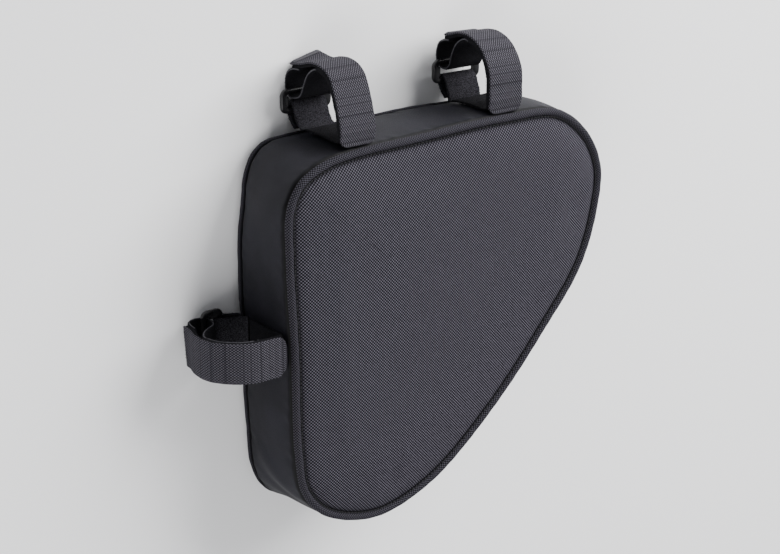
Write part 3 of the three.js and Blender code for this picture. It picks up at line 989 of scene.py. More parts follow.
@dataclass(frozen=True)
class Inflation:
    """A cloth simulation that tells how far a panel's cloth stands off its plain form.

    A coarse copy of the pad is remeshed, inflated with its edge pinned, and the height that
    its upper face gains is spread to the finer grid by distance.
    """

    stride: int = 6
    pad_depth: float = 4.0
    voxel: float = 5.0
    pinned: float = 9.0
    pressure: float = 4.0
    stiffness: float = 8.0
    quality: int = 5
    last_frame: int = 20
    neighbours: int = 6
    softening: float = 4.0
    cap: float = 1.6

    @staticmethod
    def bake(piece: Piece) -> None:
        """Put a piece's modifiers into its mesh."""
        bpy.context.view_layer.update()
        graph = bpy.context.evaluated_depsgraph_get()
        piece.data = bpy.data.meshes.new_from_object(piece.evaluated_get(graph))
        piece.modifiers.clear()

    def inflate(self, pad: Piece, held: Array) -> None:
        """Let the pad swell under its pressure, the held points staying in place."""
        group = pad.vertex_groups.new(name="edge")
        group.add(np.flatnonzero(held).tolist(), 1.0, "REPLACE")
        settings = pad.modifiers.new("cloth", "CLOTH").settings
        settings.vertex_group_mass = "edge"
        settings.use_pressure = True
        settings.uniform_pressure_force = self.pressure
        settings.effector_weights.gravity = 0.0
        settings.quality = self.quality
        settings.bending_stiffness = self.stiffness
        for step in range(1, self.last_frame + 1):
            bpy.context.scene.frame_set(step)
        self.bake(pad)
        bpy.context.scene.frame_set(1)

    def gains(self, panel: "Panel", spots: Array) -> Array:
        """Run the simulation.

        Args:
            panel: the panel whose pad is inflated.
            spots: (n, 3) points of the fine grid, z as height over the seam.

        Returns:
            (n,) gains in millimetres, capped.
        """
        edge = panel.bag.panel_edge
        top = panel.grid()[0][:, :: self.stride]
        under = top.copy()
        under[..., 2] = edge - panel.bag.panel_wall - self.pad_depth
        pad = lofted("swelling_pad", np.concatenate([under[::-1], top]))
        remesh = pad.modifiers.new("voxels", "REMESH")
        remesh.mode = "VOXEL"
        remesh.voxel_size = self.voxel * MM
        self.bake(pad)
        start = points_of(pad)
        inset = panel.outline.inset_of(start[:, :2], panel.facing.depth)
        held = (inset < self.pinned) | (start[:, 2] < edge)
        self.inflate(pad, held)
        gain = (points_of(pad) - start)[:, 2]
        bpy.data.objects.remove(pad)
        upper = np.flatnonzero(~held)
        tree = KDTree(len(upper))
        for index in upper:
            tree.insert((*start[index, :2], 0.0), int(index))
        tree.balance()
        return np.clip(self.spread(tree, gain, spots), -self.cap, self.cap)

    def spread(self, tree: KDTree, gain: Array, spots: Array) -> Array:
        """Average of the nearest gains, weighted by one over the squared distance."""
        found = [tree.find_n((float(x), float(y), 0.0), self.neighbours) for x, y in spots[:, :2]]
        index = np.array([[hit[1] for hit in hits] for hits in found])
        away = np.array([[hit[2] for hit in hits] for hits in found])
        weight = 1 / (away**2 + self.softening)
        return (gain[index] * weight).sum(axis=1) / weight.sum(axis=1)


@dataclass
class Panel:
    """A padded panel: woven cloth over foam, crowned, dipping to its seam all the way round."""

    facing: Facing
    outline: Outline
    bag: BagSizes = BAG
    inflation: Inflation = Inflation()
    columns: int = 360
    slope_rows: int = 16
    slope_power: float = 1.3
    field_rows: int = 22
    field_reach: float = 70.0
    middle_share: float = 0.05
    # Reach of the painted shade beside the seam
    seam_shade_reach: float = 1.7
    tuck_in: float = 0.35
    tuck_drop: float = 1.2
    pucker_starts: Span = (0.3, 2.5)
    pucker_reach: float = 7.0
    slack_middle: float = 22.0
    slack_reach: float = 14.0
    swell_starts: Span = (4.0, 16.0)
    flat_starts: Span = (14.0, 20.0)
    back_lift: float = 0.5

    def rise(self, inset: Array, reach: Array) -> Array:
        """Height over the seam: the crown's slope, and the dome, which grows as one minus the
        square of the share of the way out from the middle."""
        dome = self.bag.front_dome if self.facing is Facing.FRONT else 0.0
        return self.bag.panel_edge + self.bag.crown_at(inset, self.facing) + dome * (1 - reach**2)

    def grid(self) -> tuple[Array, Array]:
        """The panel's grid in plan.

        The outer rows are the outline moved inwards. The inner rows are the last of these
        shrunk towards the middle.

        Returns:
            Points (rows, columns, 3) with z as height over the seam, and each row's inset.
        """
        around = np.arange(self.columns) / self.columns
        run = np.linspace(0, 1, self.slope_rows) ** self.slope_power
        insets = self.bag.panel_inset + self.bag.crown_reach * run
        slope = self.outline.at(around[None], -insets[:, None], 0.0, self.facing.depth)
        slope[..., 2] = self.rise(insets, np.ones_like(insets))[:, None]
        shrink = np.linspace(1, self.middle_share, self.field_rows + 1)[1:]
        inner = slope[-1][None] * shrink[:, None, None]
        inner[..., 2] = self.rise(np.full_like(shrink, insets[-1]), shrink)[:, None]
        deep = insets[-1] + (1 - shrink) * self.field_reach
        return np.concatenate([slope, inner]), np.concatenate([insets, deep])

    def lift(self, top: Array, insets: Array) -> Array:
        """What the cloth's puckers, slack and swelling add to the plain form.

        Puckers are ripples that fade inwards from the seam. Slack is long waves in a bell at
        the shoulder.

        Args:
            top: the grid's points.
            insets: each row's inset.

        Returns:
            (rows, columns) heights.
        """
        around = np.arange(self.columns) / self.columns
        away = insets - self.bag.panel_inset
        fade = bell(insets, self.bag.panel_inset, self.pucker_reach) * smoothstep(*self.pucker_starts, away)
        lift = ripples(around, PANEL_PUCKERS)[None] * fade[:, None]
        shoulder = bell(insets, self.slack_middle, self.slack_reach)
        lift += ripples(around, PANEL_SLACK)[None] * shoulder[:, None]
        gain = self.inflation.gains(self, top.reshape(-1, 3)).reshape(top.shape[:2])
        lift += gain * smoothstep(*self.swell_starts, away)[:, None]
        if self.facing is Facing.BACK:
            lift *= (1 - smoothstep(*self.flat_starts, away))[:, None]
            lift = np.minimum(lift, self.back_lift)
        return lift

    def build(self) -> None:
        """Make the panel as one closed body and dress it."""
        top, insets = self.grid()
        top[..., 2] += self.lift(top, insets)
        under = top.copy()
        under[..., 2] -= self.bag.panel_wall
        around = np.arange(self.columns) / self.columns
        tuck = self.outline.at(around, -self.bag.panel_inset + self.tuck_in, 0.0, self.facing.depth)[None]
        tuck[..., 2] = top[:1, :, 2] - self.tuck_drop
        rings = np.concatenate([under[::-1], tuck, top])
        rings[..., 2] = self.bag.seam(self.facing) + self.facing.value * rings[..., 2]
        piece = lofted(f"{self.facing.side}_panel_cloth", rings)
        # Painted shade: the cloth darkens in a bell beside its seam.
        sunk = np.zeros(rings.shape[:2])
        sunk[-len(top) :] = bell(insets, self.bag.panel_inset, self.seam_shade_reach)[:, None]
        paint_seam_shade(piece, sunk)
        dress(piece, Look.WOVEN, "woven_cloth", f"{self.facing.side}_panel")


@dataclass
class Gusset:
    """The smooth band between the two seams, bulged a little, creased and sagging."""

    outline: Outline
    bag: BagSizes = BAG
    columns: int = 900
    rows: int = 34
    lip: float = 1.5
    lip_reach: float = 0.9
    pull_middle: float = 3.0
    pull_reach: float = 4.0
    slack_drift: float = 0.05
    # Reach of the painted shade beside each seam
    seam_shade_reach: float = 2.2

    def out_at(self, around: Array, depth: Array) -> Array:
        """How far the band's face stands out.

        The bulge is a half sine over the depth. Each relief is a bell round the outline that
        drifts over the depth, faded to nothing at both seams. The seams' pull adds ripples
        that die away within a few millimetres.

        Args:
            around: share of the outline.
            depth: share of the depth.

        Returns:
            Distances of the arguments' common shape.
        """
        out = self.bag.gusset_bulge * np.sin(np.pi * depth) + 0.0 * around
        for row in RELIEFS:
            fade = np.sin(np.pi * depth ** (math.log(0.5) / math.log(row.deepest)))
            out = out + row.out * fade * bell(around - row.drift * (depth - 0.5), row.around, row.reach)
        near = np.minimum(depth, 1 - depth) * self.bag.gusset_depth
        pull = ripples(around, GUSSET_PULL) * bell(near, self.pull_middle, self.pull_reach)
        slack = ripples(around + self.slack_drift * depth, GUSSET_SLACK) * np.sin(np.pi * depth)
        return out + pull + slack

    def face(self, wall: float) -> Array:
        """One face of the band, its edges turned in under the pipings.

        Args:
            wall: distance inside the outer face.

        Returns:
            (rows, columns, 3) points from the front to the back.
        """
        around = np.arange(self.columns) / self.columns
        ease = 0.5 - 0.5 * np.cos(np.pi * np.linspace(0, 1, self.rows))
        depth = np.clip(ease, 1e-6, 1 - 1e-6)
        out = self.out_at(around[None], depth[:, None]) - wall
        clear = self.bag.gap + self.bag.piping_radius - self.bag.piping_standoff
        high, low = self.bag.front_seam - clear, self.bag.back_seam + clear
        height = high + (low - high) * depth
        out -= self.lip * bell(self.to_edge(height), 0.0, self.lip_reach)[:, None]
        return self.outline.at(around[None], out, height[:, None], depth[:, None])

    @staticmethod
    def to_edge(height: Array) -> Array:
        """Distance of each height from the nearer of the two ends."""
        return np.minimum(height.max() - height, height - height.min())

    def build(self) -> None:
        """Make the band as one closed ring and dress it."""
        outer = self.face(0.0)
        rings = np.concatenate([outer, self.face(self.bag.gusset_wall)[::-1]])
        piece = lofted("gusset_cloth", rings, cyclic=True)
        # Painted shade: the band darkens near both of its seams, under the pipings.
        paint_seam_shade(piece, bell(self.to_edge(rings[..., 2]), 0.0, self.seam_shade_reach))
        dress(piece, Look.SMOOTH, "smooth_cloth", "gusset")


@dataclass
class Piping:
    """A round cord in a bias-cut cover, sewn into a seam, with its line of stitches."""

    facing: Facing
    outline: Outline
    bag: BagSizes = BAG
    columns: int = 900
    sides: int = 22
    # Range of the cord's turn over which its painted shade fades out
    shaded: Span = (-0.85, -0.25)
    stitch_pitch: float = 2.7
    stitch_share: float = 0.86
    stitch_radius: float = 0.42
    stitch_rise: float = 1.6
    stitch_inset: float = 0.4
    stitch_level: float = 1.0
    stitch_thin: float = 0.0004

    @property
    def level(self) -> float:
        """Height of the cord's middle."""
        return self.bag.seam(self.facing) + self.facing.value * self.bag.piping_standoff

    def cord(self) -> None:
        """Make the cord: a circle carried round the outline, its radius swelling a little."""
        around = np.arange(self.columns + 1)[:, None] / self.columns
        turn = 2 * np.pi * np.arange(self.sides + 1) / self.sides
        radius = self.bag.piping_radius + ripples(around, CORD_SWELL)
        out = radius * np.cos(turn) - self.bag.piping_inset
        height = self.level + radius * np.sin(turn)
        rings = self.outline.at(around, out, height, self.facing.depth)[:-1, :-1]
        uv = np.broadcast_arrays(around * self.outline.length, turn * self.bag.piping_radius)
        name = f"{self.facing.side}_piping"
        piece = lofted(f"{name}_cord", rings, cyclic=True, uv=np.stack(uv, axis=-1))
        # Painted shade on the cord's side that faces the gusset, in the gutter between them.
        sunk = 1 - smoothstep(*self.shaded, self.facing.value * np.sin(turn[:-1]))
        paint_seam_shade(piece, np.broadcast_to(sunk, rings.shape[:2]))
        dress(piece, Look.PIPING, "woven_cloth", name)

    def stitches(self) -> None:
        """Make the stitches in the groove between piping and panel."""
        count = int(self.outline.length / self.stitch_pitch)
        around = (np.arange(count) + 0.5) / count
        inset = self.bag.piping_inset + self.bag.piping_radius + self.stitch_inset
        level = self.level + self.facing.value * self.stitch_level
        spots, *axes = self.outline.axes(around, inset, level, self.facing.depth, self.facing.value)
        radius = self.stitch_radius
        length = self.stitch_pitch * self.stitch_share
        stitch = arched_thread(length, radius, radius * self.stitch_rise, radius, self.stitch_thin)
        piece = copies(f"{self.facing.side}_seam_stitches", *stitch, spots, np.stack(axes, axis=1))
        dress(piece, Look.THREAD, "webbing")


@dataclass
class Zip:
    """The closure on the back panel's slope: two tapes, coil teeth, a slider and its pull."""

    outline: Outline
    bag: BagSizes = BAG
    first: float = 55 / 60
    last: float = 82 / 60
    edge_runs: Triple = (0.05, 0.2, 0.42)
    tape: float = 1.0
    tape_share: float = 0.9
    tape_back: float = 0.1
    ridge: float = 0.45
    ridge_reach: float = 1.9
    steps: int = 500
    strips: int = 15
    tooth_pitch: float = 1.5
    tooth_width: float = 4.6
    tooth_rise: float = 0.75
    tooth_radius: float = 0.42
    tooth_thin: float = 0.02
    tooth_drop: float = 0.5
    first_tooth: float = 0.012
    last_tooth: float = 0.004
    slider_half: Triple = (5.0, 3.9, 1.15)
    slider_drop: float = 1.3
    slider_rings: int = 15
    slider_sides: int = 24
    slider_taper: float = 3.2
    slider_thin: float = 0.0004
    slider_step: float = 1e-3
    slider_corner: float = 0.6

    def insets(self) -> Triple:
        """Distances inside the seam of the outer edge, the teeth and the inner edge."""
        return tuple(self.bag.panel_inset + run * self.bag.crown_reach for run in self.edge_runs)

    def level(self, inset: Array) -> Array:
        """Height of the back panel's face, a clearance below it."""
        rise = self.bag.panel_edge + self.bag.crown_at(inset, Facing.BACK)
        return self.bag.back_seam - rise - self.bag.gap

    def build(self) -> None:
        """Make the zip's tapes, teeth and slider."""
        outer, middle, inner = self.insets()
        around = np.linspace(self.first, self.last, self.steps)[:, None]
        across = np.linspace(outer, inner, self.strips)
        level = self.level(across)
        ridge = self.ridge * bell(across, middle, self.ridge_reach)
        low = self.outline.at(around, -across, level - self.tape * self.tape_share - ridge, 1.0)
        high = self.outline.at(around, -across, level + self.tape_back, 1.0)
        tapes = lofted("zip_tapes", np.concatenate([low, high[:, ::-1]], axis=1))
        dress(tapes, Look.TAPE, "zip_tape", "zip_closure")

        base = float(self.level(np.array(middle))) - self.tape
        count = int((self.last - self.first) * self.outline.length / self.tooth_pitch)
        spots = np.linspace(self.first + self.first_tooth, self.last - self.last_tooth, count)
        place, along, side, down = self.outline.axes(spots, middle, base - self.tooth_drop, 1.0, -1)
        tooth = arched_thread(self.tooth_width, self.tooth_radius, self.tooth_rise, 0.0, self.tooth_thin)
        teeth = copies("zip_teeth", *tooth, place, np.stack([-side, along, down], axis=1))
        dress(teeth, Look.PLASTIC, "zip_tape")
        self.slider(middle, base)

    def slider(self, middle: float, base: float) -> None:
        """Make the slider and its pull: one flat rounded body of superellipse sections.

        Args:
            middle: the teeth's distance inside the seam.
            base: height of the tapes' face there.
        """
        share = self.first + self.first_tooth
        level = base - self.slider_drop
        place, along, side, up = self.outline.axes(share, middle, level, 1.0, 1, self.slider_step)
        run = np.linspace(-1, 1, self.slider_rings)[:, None]
        taper = np.sqrt(np.clip(1 - np.abs(run) ** self.slider_taper, self.slider_thin, 1))
        wide, tall = squarish(circle(self.slider_sides), self.slider_corner)
        long_half, wide_half, tall_half = self.slider_half
        body = place + (run * long_half + 0 * wide)[..., None] * along
        body = body + (taper * wide_half * wide)[..., None] * -side
        body = body + (taper * tall_half * tall)[..., None] * up
        dress(lofted("zip_slider", body), Look.PLASTIC, "black_plastic")


# The straps


FLAT_POINTS = 13
EDGE_POINTS = 5
UPPER_FACE = slice(FLAT_POINTS + EDGE_POINTS, 2 * FLAT_POINTS + EDGE_POINTS)
LOWER_FACE_BACK = slice(FLAT_POINTS - 1, None, -1)
EDGE_GIRTH = 0.6
TIP = 0.05
SEAT_STEPS = 1200
LINE_STEPS = 400
RIM_STEPS = 300
SHARED_STEPS = 8
END_RUN = 8
ROWS_BACK = (2, 4, 6)

# The grey webbing's line starts where the strap's is this high and this far back, in
# millimetres, under two points that give its foot beside that start
FACE_RISES = RoutePoint(6.0, 5.0)
FACE_FOOT = ((-0.55, 0.0), (-0.25, 2.1))
FACE_STRIDE = 12

# Rows of whole turns along a strip, phase, phase for each share of the bag, and size
EDGE_WAVES = ((2.3, 0.7, 9.0, 0.1), (5.1, 2.0, 0.0, 0.06), (9.7, 0.0, 20.0, 0.035))


class Layer(NamedTuple):
    """One layer of a strap: a flat strip carried along a plane line.

    Its faces lie at low and high, distances to the line's left, its edges an inset inside the
    strap's. Its first end has rounded corners, and its last one is skewed by a share of the
    width.
    """

    name: str
    node: str
    line: Array
    low: Array | float
    high: float
    steps: int
    look: Look
    slot: str
    inset: float = 0.0
    round_start: float = 0.0
    skew: float = 0.0


class Fibres(NamedTuple):
    """Loose fibres of one layer: the layer's name, how many, the longest, and their dress."""

    name: str
    layer: str
    count: int
    length: float
    look: Look
    slot: str


FIBRES = tuple(starmap(Fibres, (
    ("pile_fibres", "pile", 2600, 1.0, Look.PILE, "pile"),
    ("cinch_fibres", "cinch_layer", 1500, 0.7, Look.PILE, "pile"),
    ("tab_fibres", "tab_layer", 1600, 0.8, Look.GREY_PILE, "pile"),
    ("webbing_fibres", "webbing", 500, 0.5, Look.SELVEDGE, "webbing"),
)))
FIBRE_RADIUS = 0.075
FIBRE_SPREAD = 0.45
FIBRE_SHORTEST = 0.4


@dataclass(frozen=True)
class CutThreads:
    """Threads that stand out of a strap's cut end, kept clear of the floor."""

    count: int = 90
    radius: float = 0.11
    spread: float = 0.3
    shortest: float = 0.3
    inwards: float = 0.12
    sunk: float = 0.4
    clearance: float = 0.3
    floor: float = 0.2


@dataclass(frozen=True)
class RingSizes:
    """The plastic ring: a squarish bar carried round a rounded rectangle."""

    width: float = 36.0
    height: float = 15.0
    bar: float = 3.0
    bow: float = 1.2
    level: float = 18.2
    setback: float = 2.9
    end_bar: float = 1.9
    ends: Span = (0.72, 0.98)
    corner: float = 0.75
    deeper: float = 1.04
    steps: int = 140
    sides: int = 20
    quarter_points: int = 9


@dataclass
class StrapLoop:
    """One hook-and-loop strap: webbing over pile, the cinch layer, the tab and the ring."""

    name: str
    edge: Edge
    along: float
    outline: Outline
    end: RoutePoint
    fold: float
    ahead: float = 0.0
    forward: float = 0.0
    lean: float = 0.0
    lift: float = 0.0
    skew: float = 0.0
    drop: float = 0.0
    aside: float = 0.0
    round_start: float = 5.0
    frayed: float = 1.4
    foot: float = 0.3
    extra: float = 0.0
    twist: float = 0.0
    rim: bool = False
    bag: BagSizes = BAG
    threads: CutThreads = CutThreads()
    ring_sizes: RingSizes = RingSizes()
    webbing: float = 2.4
    cinch: float = 1.8
    pile_face: float = -0.05
    pile_thin: float = 1.2
    bare_pile: float = 2.0
    end_pile: float = 0.75
    pile_stands: Span = (2.0, 7.0)
    bare_ends: Span = (0.4, 0.55)
    end_starts: Span = (0.6, 0.72)
    face_out: float = 0.65
    cord_radius: float = 0.42
    cord_inset: float = 0.1
    cord_steps: int = 150
    # How far the pale rim cord, a painted highlight, stands out of the pile
    rim_proud: float = 0.45
    rim_clear: float = 3.0
    cinch_steps: int = 200
    bare_cinch: int = 60
    row_radius: float = 0.62
    row_rise: float = 0.4

    def seat(self, depth: float) -> float:
        """The gusset's highest stretch under the strap at a share of the depth."""
        spots = self.outline.at(np.linspace(0, 1, SEAT_STEPS), 0.0, 0.0, depth)
        top = self.edge is Edge.TOP
        centre = self.along * (self.bag.width if top else self.bag.height)
        place = spots[:, 0] if top else spots[:, 1]
        under = np.abs(place - centre) < self.bag.strap_width / 2 + self.bag.gap
        return float((spots[:, 1] if top else -spots[:, 0])[under].max())

    def spot(self, point: RoutePoint) -> Array:
        """A route's point in the loop's plane.

        A leaning front is moved back by a bell over the height, and behind the bag the layers
        go forward and up with their ring.

        Args:
            point: the point, in shares of the gusset's depth and the loop's height.

        Returns:
            Depth and height in millimetres.
        """
        front = 1 - smoothstep(*LEAN_ENDS, point.depth)
        lean = self.lean * front * bell(point.height, LEAN_LEVEL, LEAN_REACH)
        behind = smoothstep(*FOLLOWS_RING, point.depth)
        depth = point.depth + lean - self.ahead - self.forward * behind
        threaded = smoothstep(*LIFT_FOOT, point.height) * (1 - smoothstep(*LIFT_HEAD, point.height))
        lift = self.lift * threaded * smoothstep(*LIFT_STARTS, point.depth)
        return np.array([depth * self.bag.gusset_depth, (point.height + lift) * self.bag.loop_height])

    def base(self, depth: float, thick: float) -> Array:
        """Middle of a layer that lies on the gusset."""
        bulge = self.bag.gusset_bulge * math.sin(math.pi * depth)
        out = self.seat(depth) - self.seat(0.0) + bulge + self.bag.gap + thick / 2
        return np.array([(depth - self.ahead) * self.bag.gusset_depth, out])

    def strap_line(self) -> Array:
        """Middle of the strap: sewn along the gusset, up at the front, over to its cut end."""
        sewn = [self.base(share, self.webbing) for share in BASE_RUN]
        end = np.array([self.end.depth * self.bag.gusset_depth, self.end.height * self.bag.loop_height])
        return open_spline(np.array([*sewn, *map(self.spot, (BASE_BEND, *STRAP_ROUTE)), end]))

    def cinch_line(self) -> Array:
        """Middle of the cinch layer: under the strap, down through the ring and back up."""
        beneath = (self.webbing + self.cinch) / 2 + self.bag.gap
        above = evenly(open_spline(np.array([*map(self.spot, SHARED_ROUTE)])), SHARED_STEPS)
        shared = above - left_normals(above) * beneath
        return open_spline(np.vstack([shared, *map(self.spot, CINCH_ROUTE)]))

    def tab_line(self) -> Array:
        """Middle of the tab: from its foot on the gusset round the ring's lower bar."""
        fold = RoutePoint(TAB_FOLD_DEPTH, self.fold)
        foot = self.base(TAB_FOOT, self.cinch)
        return open_spline(np.array([foot, *map(self.spot, (*TAB_ROUTE_IN, fold, *TAB_ROUTE_OUT))]))

    def face_line(self) -> Array:
        """Line of the grey webbing: from the front seam up beside the strap's own line."""
        line = evenly(self.strap_line(), LINE_STEPS)
        rising = np.flatnonzero((line[:, 1] > FACE_RISES.height) & (line[:, 0] < FACE_RISES.depth))[0]
        up = line[rising:] + left_normals(line)[rising:] * self.face_out
        foot = np.array(FACE_FOOT) + (up[0, 0], self.foot)
        rows = np.vstack([foot, up[: -FACE_STRIDE // 2 : FACE_STRIDE], up[-1:]])
        if self.extra:
            rows = np.vstack([rows, up[-1:] + self.extra * unit(up[-1:] - up[-END_RUN : 1 - END_RUN])])
        return open_spline(rows, FACE_STRIDE)

    def rim_line(self) -> Array:
        """Line inside the strap, level with the cinch layer, from the front bend to that layer."""
        spine = evenly(self.strap_line(), RIM_STEPS)
        cinch = evenly(self.cinch_line(), self.cinch_steps)
        away = np.linalg.norm(spine[:, None] - cinch[None], axis=-1).min(axis=1)
        first = int(spine[:, 0].argmin())
        last = first + int((away[first:] < self.rim_clear).argmax())
        return (spine - left_normals(spine) * (self.webbing + self.cinch) / 2)[first:last]

    def pile_back(self, steps: int) -> Array:
        """The pile's lower face: thick up to where the cinch layer leaves it, and by the end."""
        depth, height = evenly(self.strap_line(), steps).T
        share = depth / self.bag.gusset_depth
        front = self.bare_pile * (1 - smoothstep(*self.bare_ends, share))
        rear = self.end_pile * smoothstep(*self.end_starts, share)
        return -self.pile_thin - smoothstep(*self.pile_stands, height) * (front + rear)

    def placed(self, points: Array, skew: float = 0.0) -> Array:
        """Send the loop's space to the bag, the cut end skewed and the far edge dropped.

        The skew grows with the square of the way to the cut end, and the drop with that of
        the height.

        Args:
            points: x as depth, y outwards from the gusset, z along it.
            skew: the cut end's skew, as a share of the width.

        Returns:
            The points in the bag's frame.
        """
        depth, out, along = np.moveaxis(points, -1, 0)
        centred = along - self.bag.strap_width / 2
        end = self.end.depth * self.bag.gusset_depth
        start = end - SKEW_REACH * self.bag.gusset_depth
        run = np.clip((depth - start) / (end - start), 0, 1)
        near = np.where(out > SKEW_FLOOR * self.bag.loop_height, run, 0.0)
        aslant = near**2 * centred
        raised = np.maximum(out, 0) / self.bag.loop_height
        depth = depth + skew * aslant
        out = out + self.twist * aslant * (skew > 0) - self.drop * raised**2 * along
        return self.on_bag(depth, out, centred)

    def on_bag(self, depth: Array, out: Array, centred: Array) -> Array:
        """Points of the bag at a depth, a distance outwards and a way along the edge."""
        height = self.bag.front_seam - depth
        if self.edge is Edge.TOP:
            return np.stack([self.along * self.bag.width + centred, self.seat(0.0) + out, height], axis=-1)
        return np.stack([-(self.seat(0.0) + out), self.along * self.bag.height + centred, height], axis=-1)

    def strip(self, layer: Layer) -> Array:
        """Make a layer: a rounded flat section carried along its line.

        Args:
            layer: the layer's line, faces, ends and dress.

        Returns:
            Its rings, (steps + 1, m, 3).
        """
        spine = evenly(layer.line, layer.steps)
        run = lengths_along(spine)
        low = np.broadcast_to(layer.low, layer.steps + 1)[:, None]
        corner = 0.5 * float(layer.high - low.max())
        width = self.bag.strap_width - 2 * layer.inset
        flat = np.linspace(corner, width - corner, FLAT_POINTS)
        arc = np.linspace(-np.pi / 2, np.pi / 2, EDGE_POINTS + 2)[1:-1]
        turned = corner * np.cos(arc)
        across = np.concatenate([flat, width - corner + turned, flat[::-1], corner - turned])
        lift = np.concatenate([0 * flat - 1, np.sin(arc), 0 * flat + 1, -np.sin(arc)])
        waves = tuple((turns, phase + self.along * shift, size) for turns, phase, shift, size in EDGE_WAVES)
        cut = np.maximum(layer.round_start - run, 0.0)
        narrow = layer.round_start - np.sqrt(np.maximum(layer.round_start**2 - cut**2, 0.0))
        spread = (across - width / 2)[None] * (1 - narrow / (width / 2))[:, None]
        place = layer.inset + width / 2 + spread + ripples(run / run[-1], waves)[:, None]
        offset = (layer.high + low) / 2 + lift[None] * (layer.high - low) / 2
        xy = spine[:, None] + left_normals(spine)[:, None] * offset[..., None]
        rings = self.placed(np.concatenate([xy, place[..., None]], axis=-1), layer.skew)
        girth = np.concatenate([[0.0], np.cumsum(np.hypot(np.diff(across), corner * np.diff(lift)))])
        girth = np.append(girth, girth[-1] + corner * EDGE_GIRTH)
        uv = np.stack(np.broadcast_arrays(run[:, None], girth[None]), axis=-1)
        piece = lofted(f"{self.name}_{layer.name}", rings, uv=uv)
        nodes = (f"{self.name}_{layer.node}",) if layer.node else ()
        dress(piece, layer.look, layer.slot, *nodes)
        return rings

    def fuzz(self, row: Fibres, rings: Array, rng: Random) -> None:
        """Make short bent fibres that stand out of a strip all round its section.

        Args:
            row: how many fibres, their length and dress.
            rings: the strip's rings.
            rng: the source of random places.
        """
        i = rng.integers(1, len(rings) - 1, row.count)
        j = rng.integers(0, rings.shape[1], row.count)
        share = rng.random((row.count, 2, 1))
        here = rings[i, j]
        along = rings[i + 1, j] - here
        round_it = rings[i, (j + 1) % rings.shape[1]] - here
        roots = here + share[:, 0] * along + share[:, 1] * round_it
        out = np.cross(along, round_it)
        out *= np.sign((out * (roots - rings[i].mean(axis=1))).sum(axis=1, keepdims=True))
        out = unit(out) + rng.normal(0, FIBRE_SPREAD, (row.count, 3))
        lengths = row.length * (FIBRE_SHORTEST + (1 - FIBRE_SHORTEST) * rng.random(row.count))
        piece = strands(f"{self.name}_{row.name}", roots, out, lengths, FIBRE_RADIUS, rng)
        dress(piece, row.look, row.slot)

    def cut_threads(self, rings: Array, rng: Random) -> None:
        """Make the threads that stand out of the strap's cut end.

        Args:
            rings: the webbing's rings.
            rng: the source of random places.
        """
        t = self.threads
        j = rng.integers(0, rings.shape[1], t.count)
        share = rng.random((t.count, 1))
        roots = rings[-1, j] * share + rings[-1, (j + 1) % rings.shape[1]] * (1 - share)
        inwards = rings[-1].mean(axis=0) - roots
        out = unit(rings[-1, j] - rings[-3, j]) + rng.normal(0, t.spread, (t.count, 3))
        roots = roots + inwards * t.inwards * rng.random((t.count, 1)) - t.sunk * unit(out)
        downwards = np.maximum(-unit(out)[:, 2], t.floor)
        over_floor = np.maximum(roots[:, 2] - t.clearance, t.floor) / downwards
        lengths = self.frayed * (t.shortest + (1 - t.shortest) * rng.random(t.count))
        lengths = np.minimum(lengths, over_floor)
        piece = strands(f"{self.name}_cut_threads", roots, out, lengths, t.radius, rng)
        dress(piece, Look.SELVEDGE, "webbing")

    def cut_rows(self, rings: Array) -> None:
        """Make raised rows of weft across the strap, beside its cut end."""
        radii = np.array([TIP, *[self.row_radius] * (FLAT_POINTS - 2), TIP])
        rows = []
        for back in ROWS_BACK:
            line = rings[-back, UPPER_FACE]
            risen = line + self.row_rise * unit(line - rings[-back, LOWER_FACE_BACK])
            rows.append(tube_shape(risen, radii, TUBE_SIDES))
        self.tubes("cut_rows", rows, FLAT_POINTS, Look.WEBBING_THREAD)

    def selvedge(self, name: str, line: Array, proud: float = 0.0) -> None:
        """Make two pale cords beside a strip's edges: they follow its firm edges, and their pale thread is a
        painted highlight along them.

        Args:
            name: the piece's name.
            line: the strip's middle line.
            proud: how far the cords stand out beside the strip.
        """
        spine = evenly(line, self.cord_steps)
        normal = left_normals(spine)
        turn = circle(TUBE_SIDES)
        step = np.arange(self.cord_steps + 1)
        thick = self.cord_radius * np.minimum(1.0, TIP + np.minimum(step, step[::-1]))[:, None]
        cords = []
        for place in (self.cord_inset - proud, self.bag.strap_width - self.cord_inset + proud):
            xy = spine[:, None] + normal[:, None] * (thick * np.sin(turn))[..., None]
            z = place + thick * np.cos(turn)
            cords.append(self.placed(np.concatenate([xy, z[..., None]], axis=-1)).reshape(-1, 3))
        self.tubes(name, cords, len(spine), Look.SELVEDGE)

    def tubes(self, name: str, parts: list[Array], rings: int, look: Look) -> None:
        """Join tubes of as many rings into one piece, and dress it."""
        quads = tube_quads(rings, TUBE_SIDES)
        faces = np.concatenate([quads + k * rings * TUBE_SIDES for k in range(len(parts))])
        dress(mesh_piece(f"{self.name}_{name}", np.concatenate(parts), [faces]), look, "webbing")

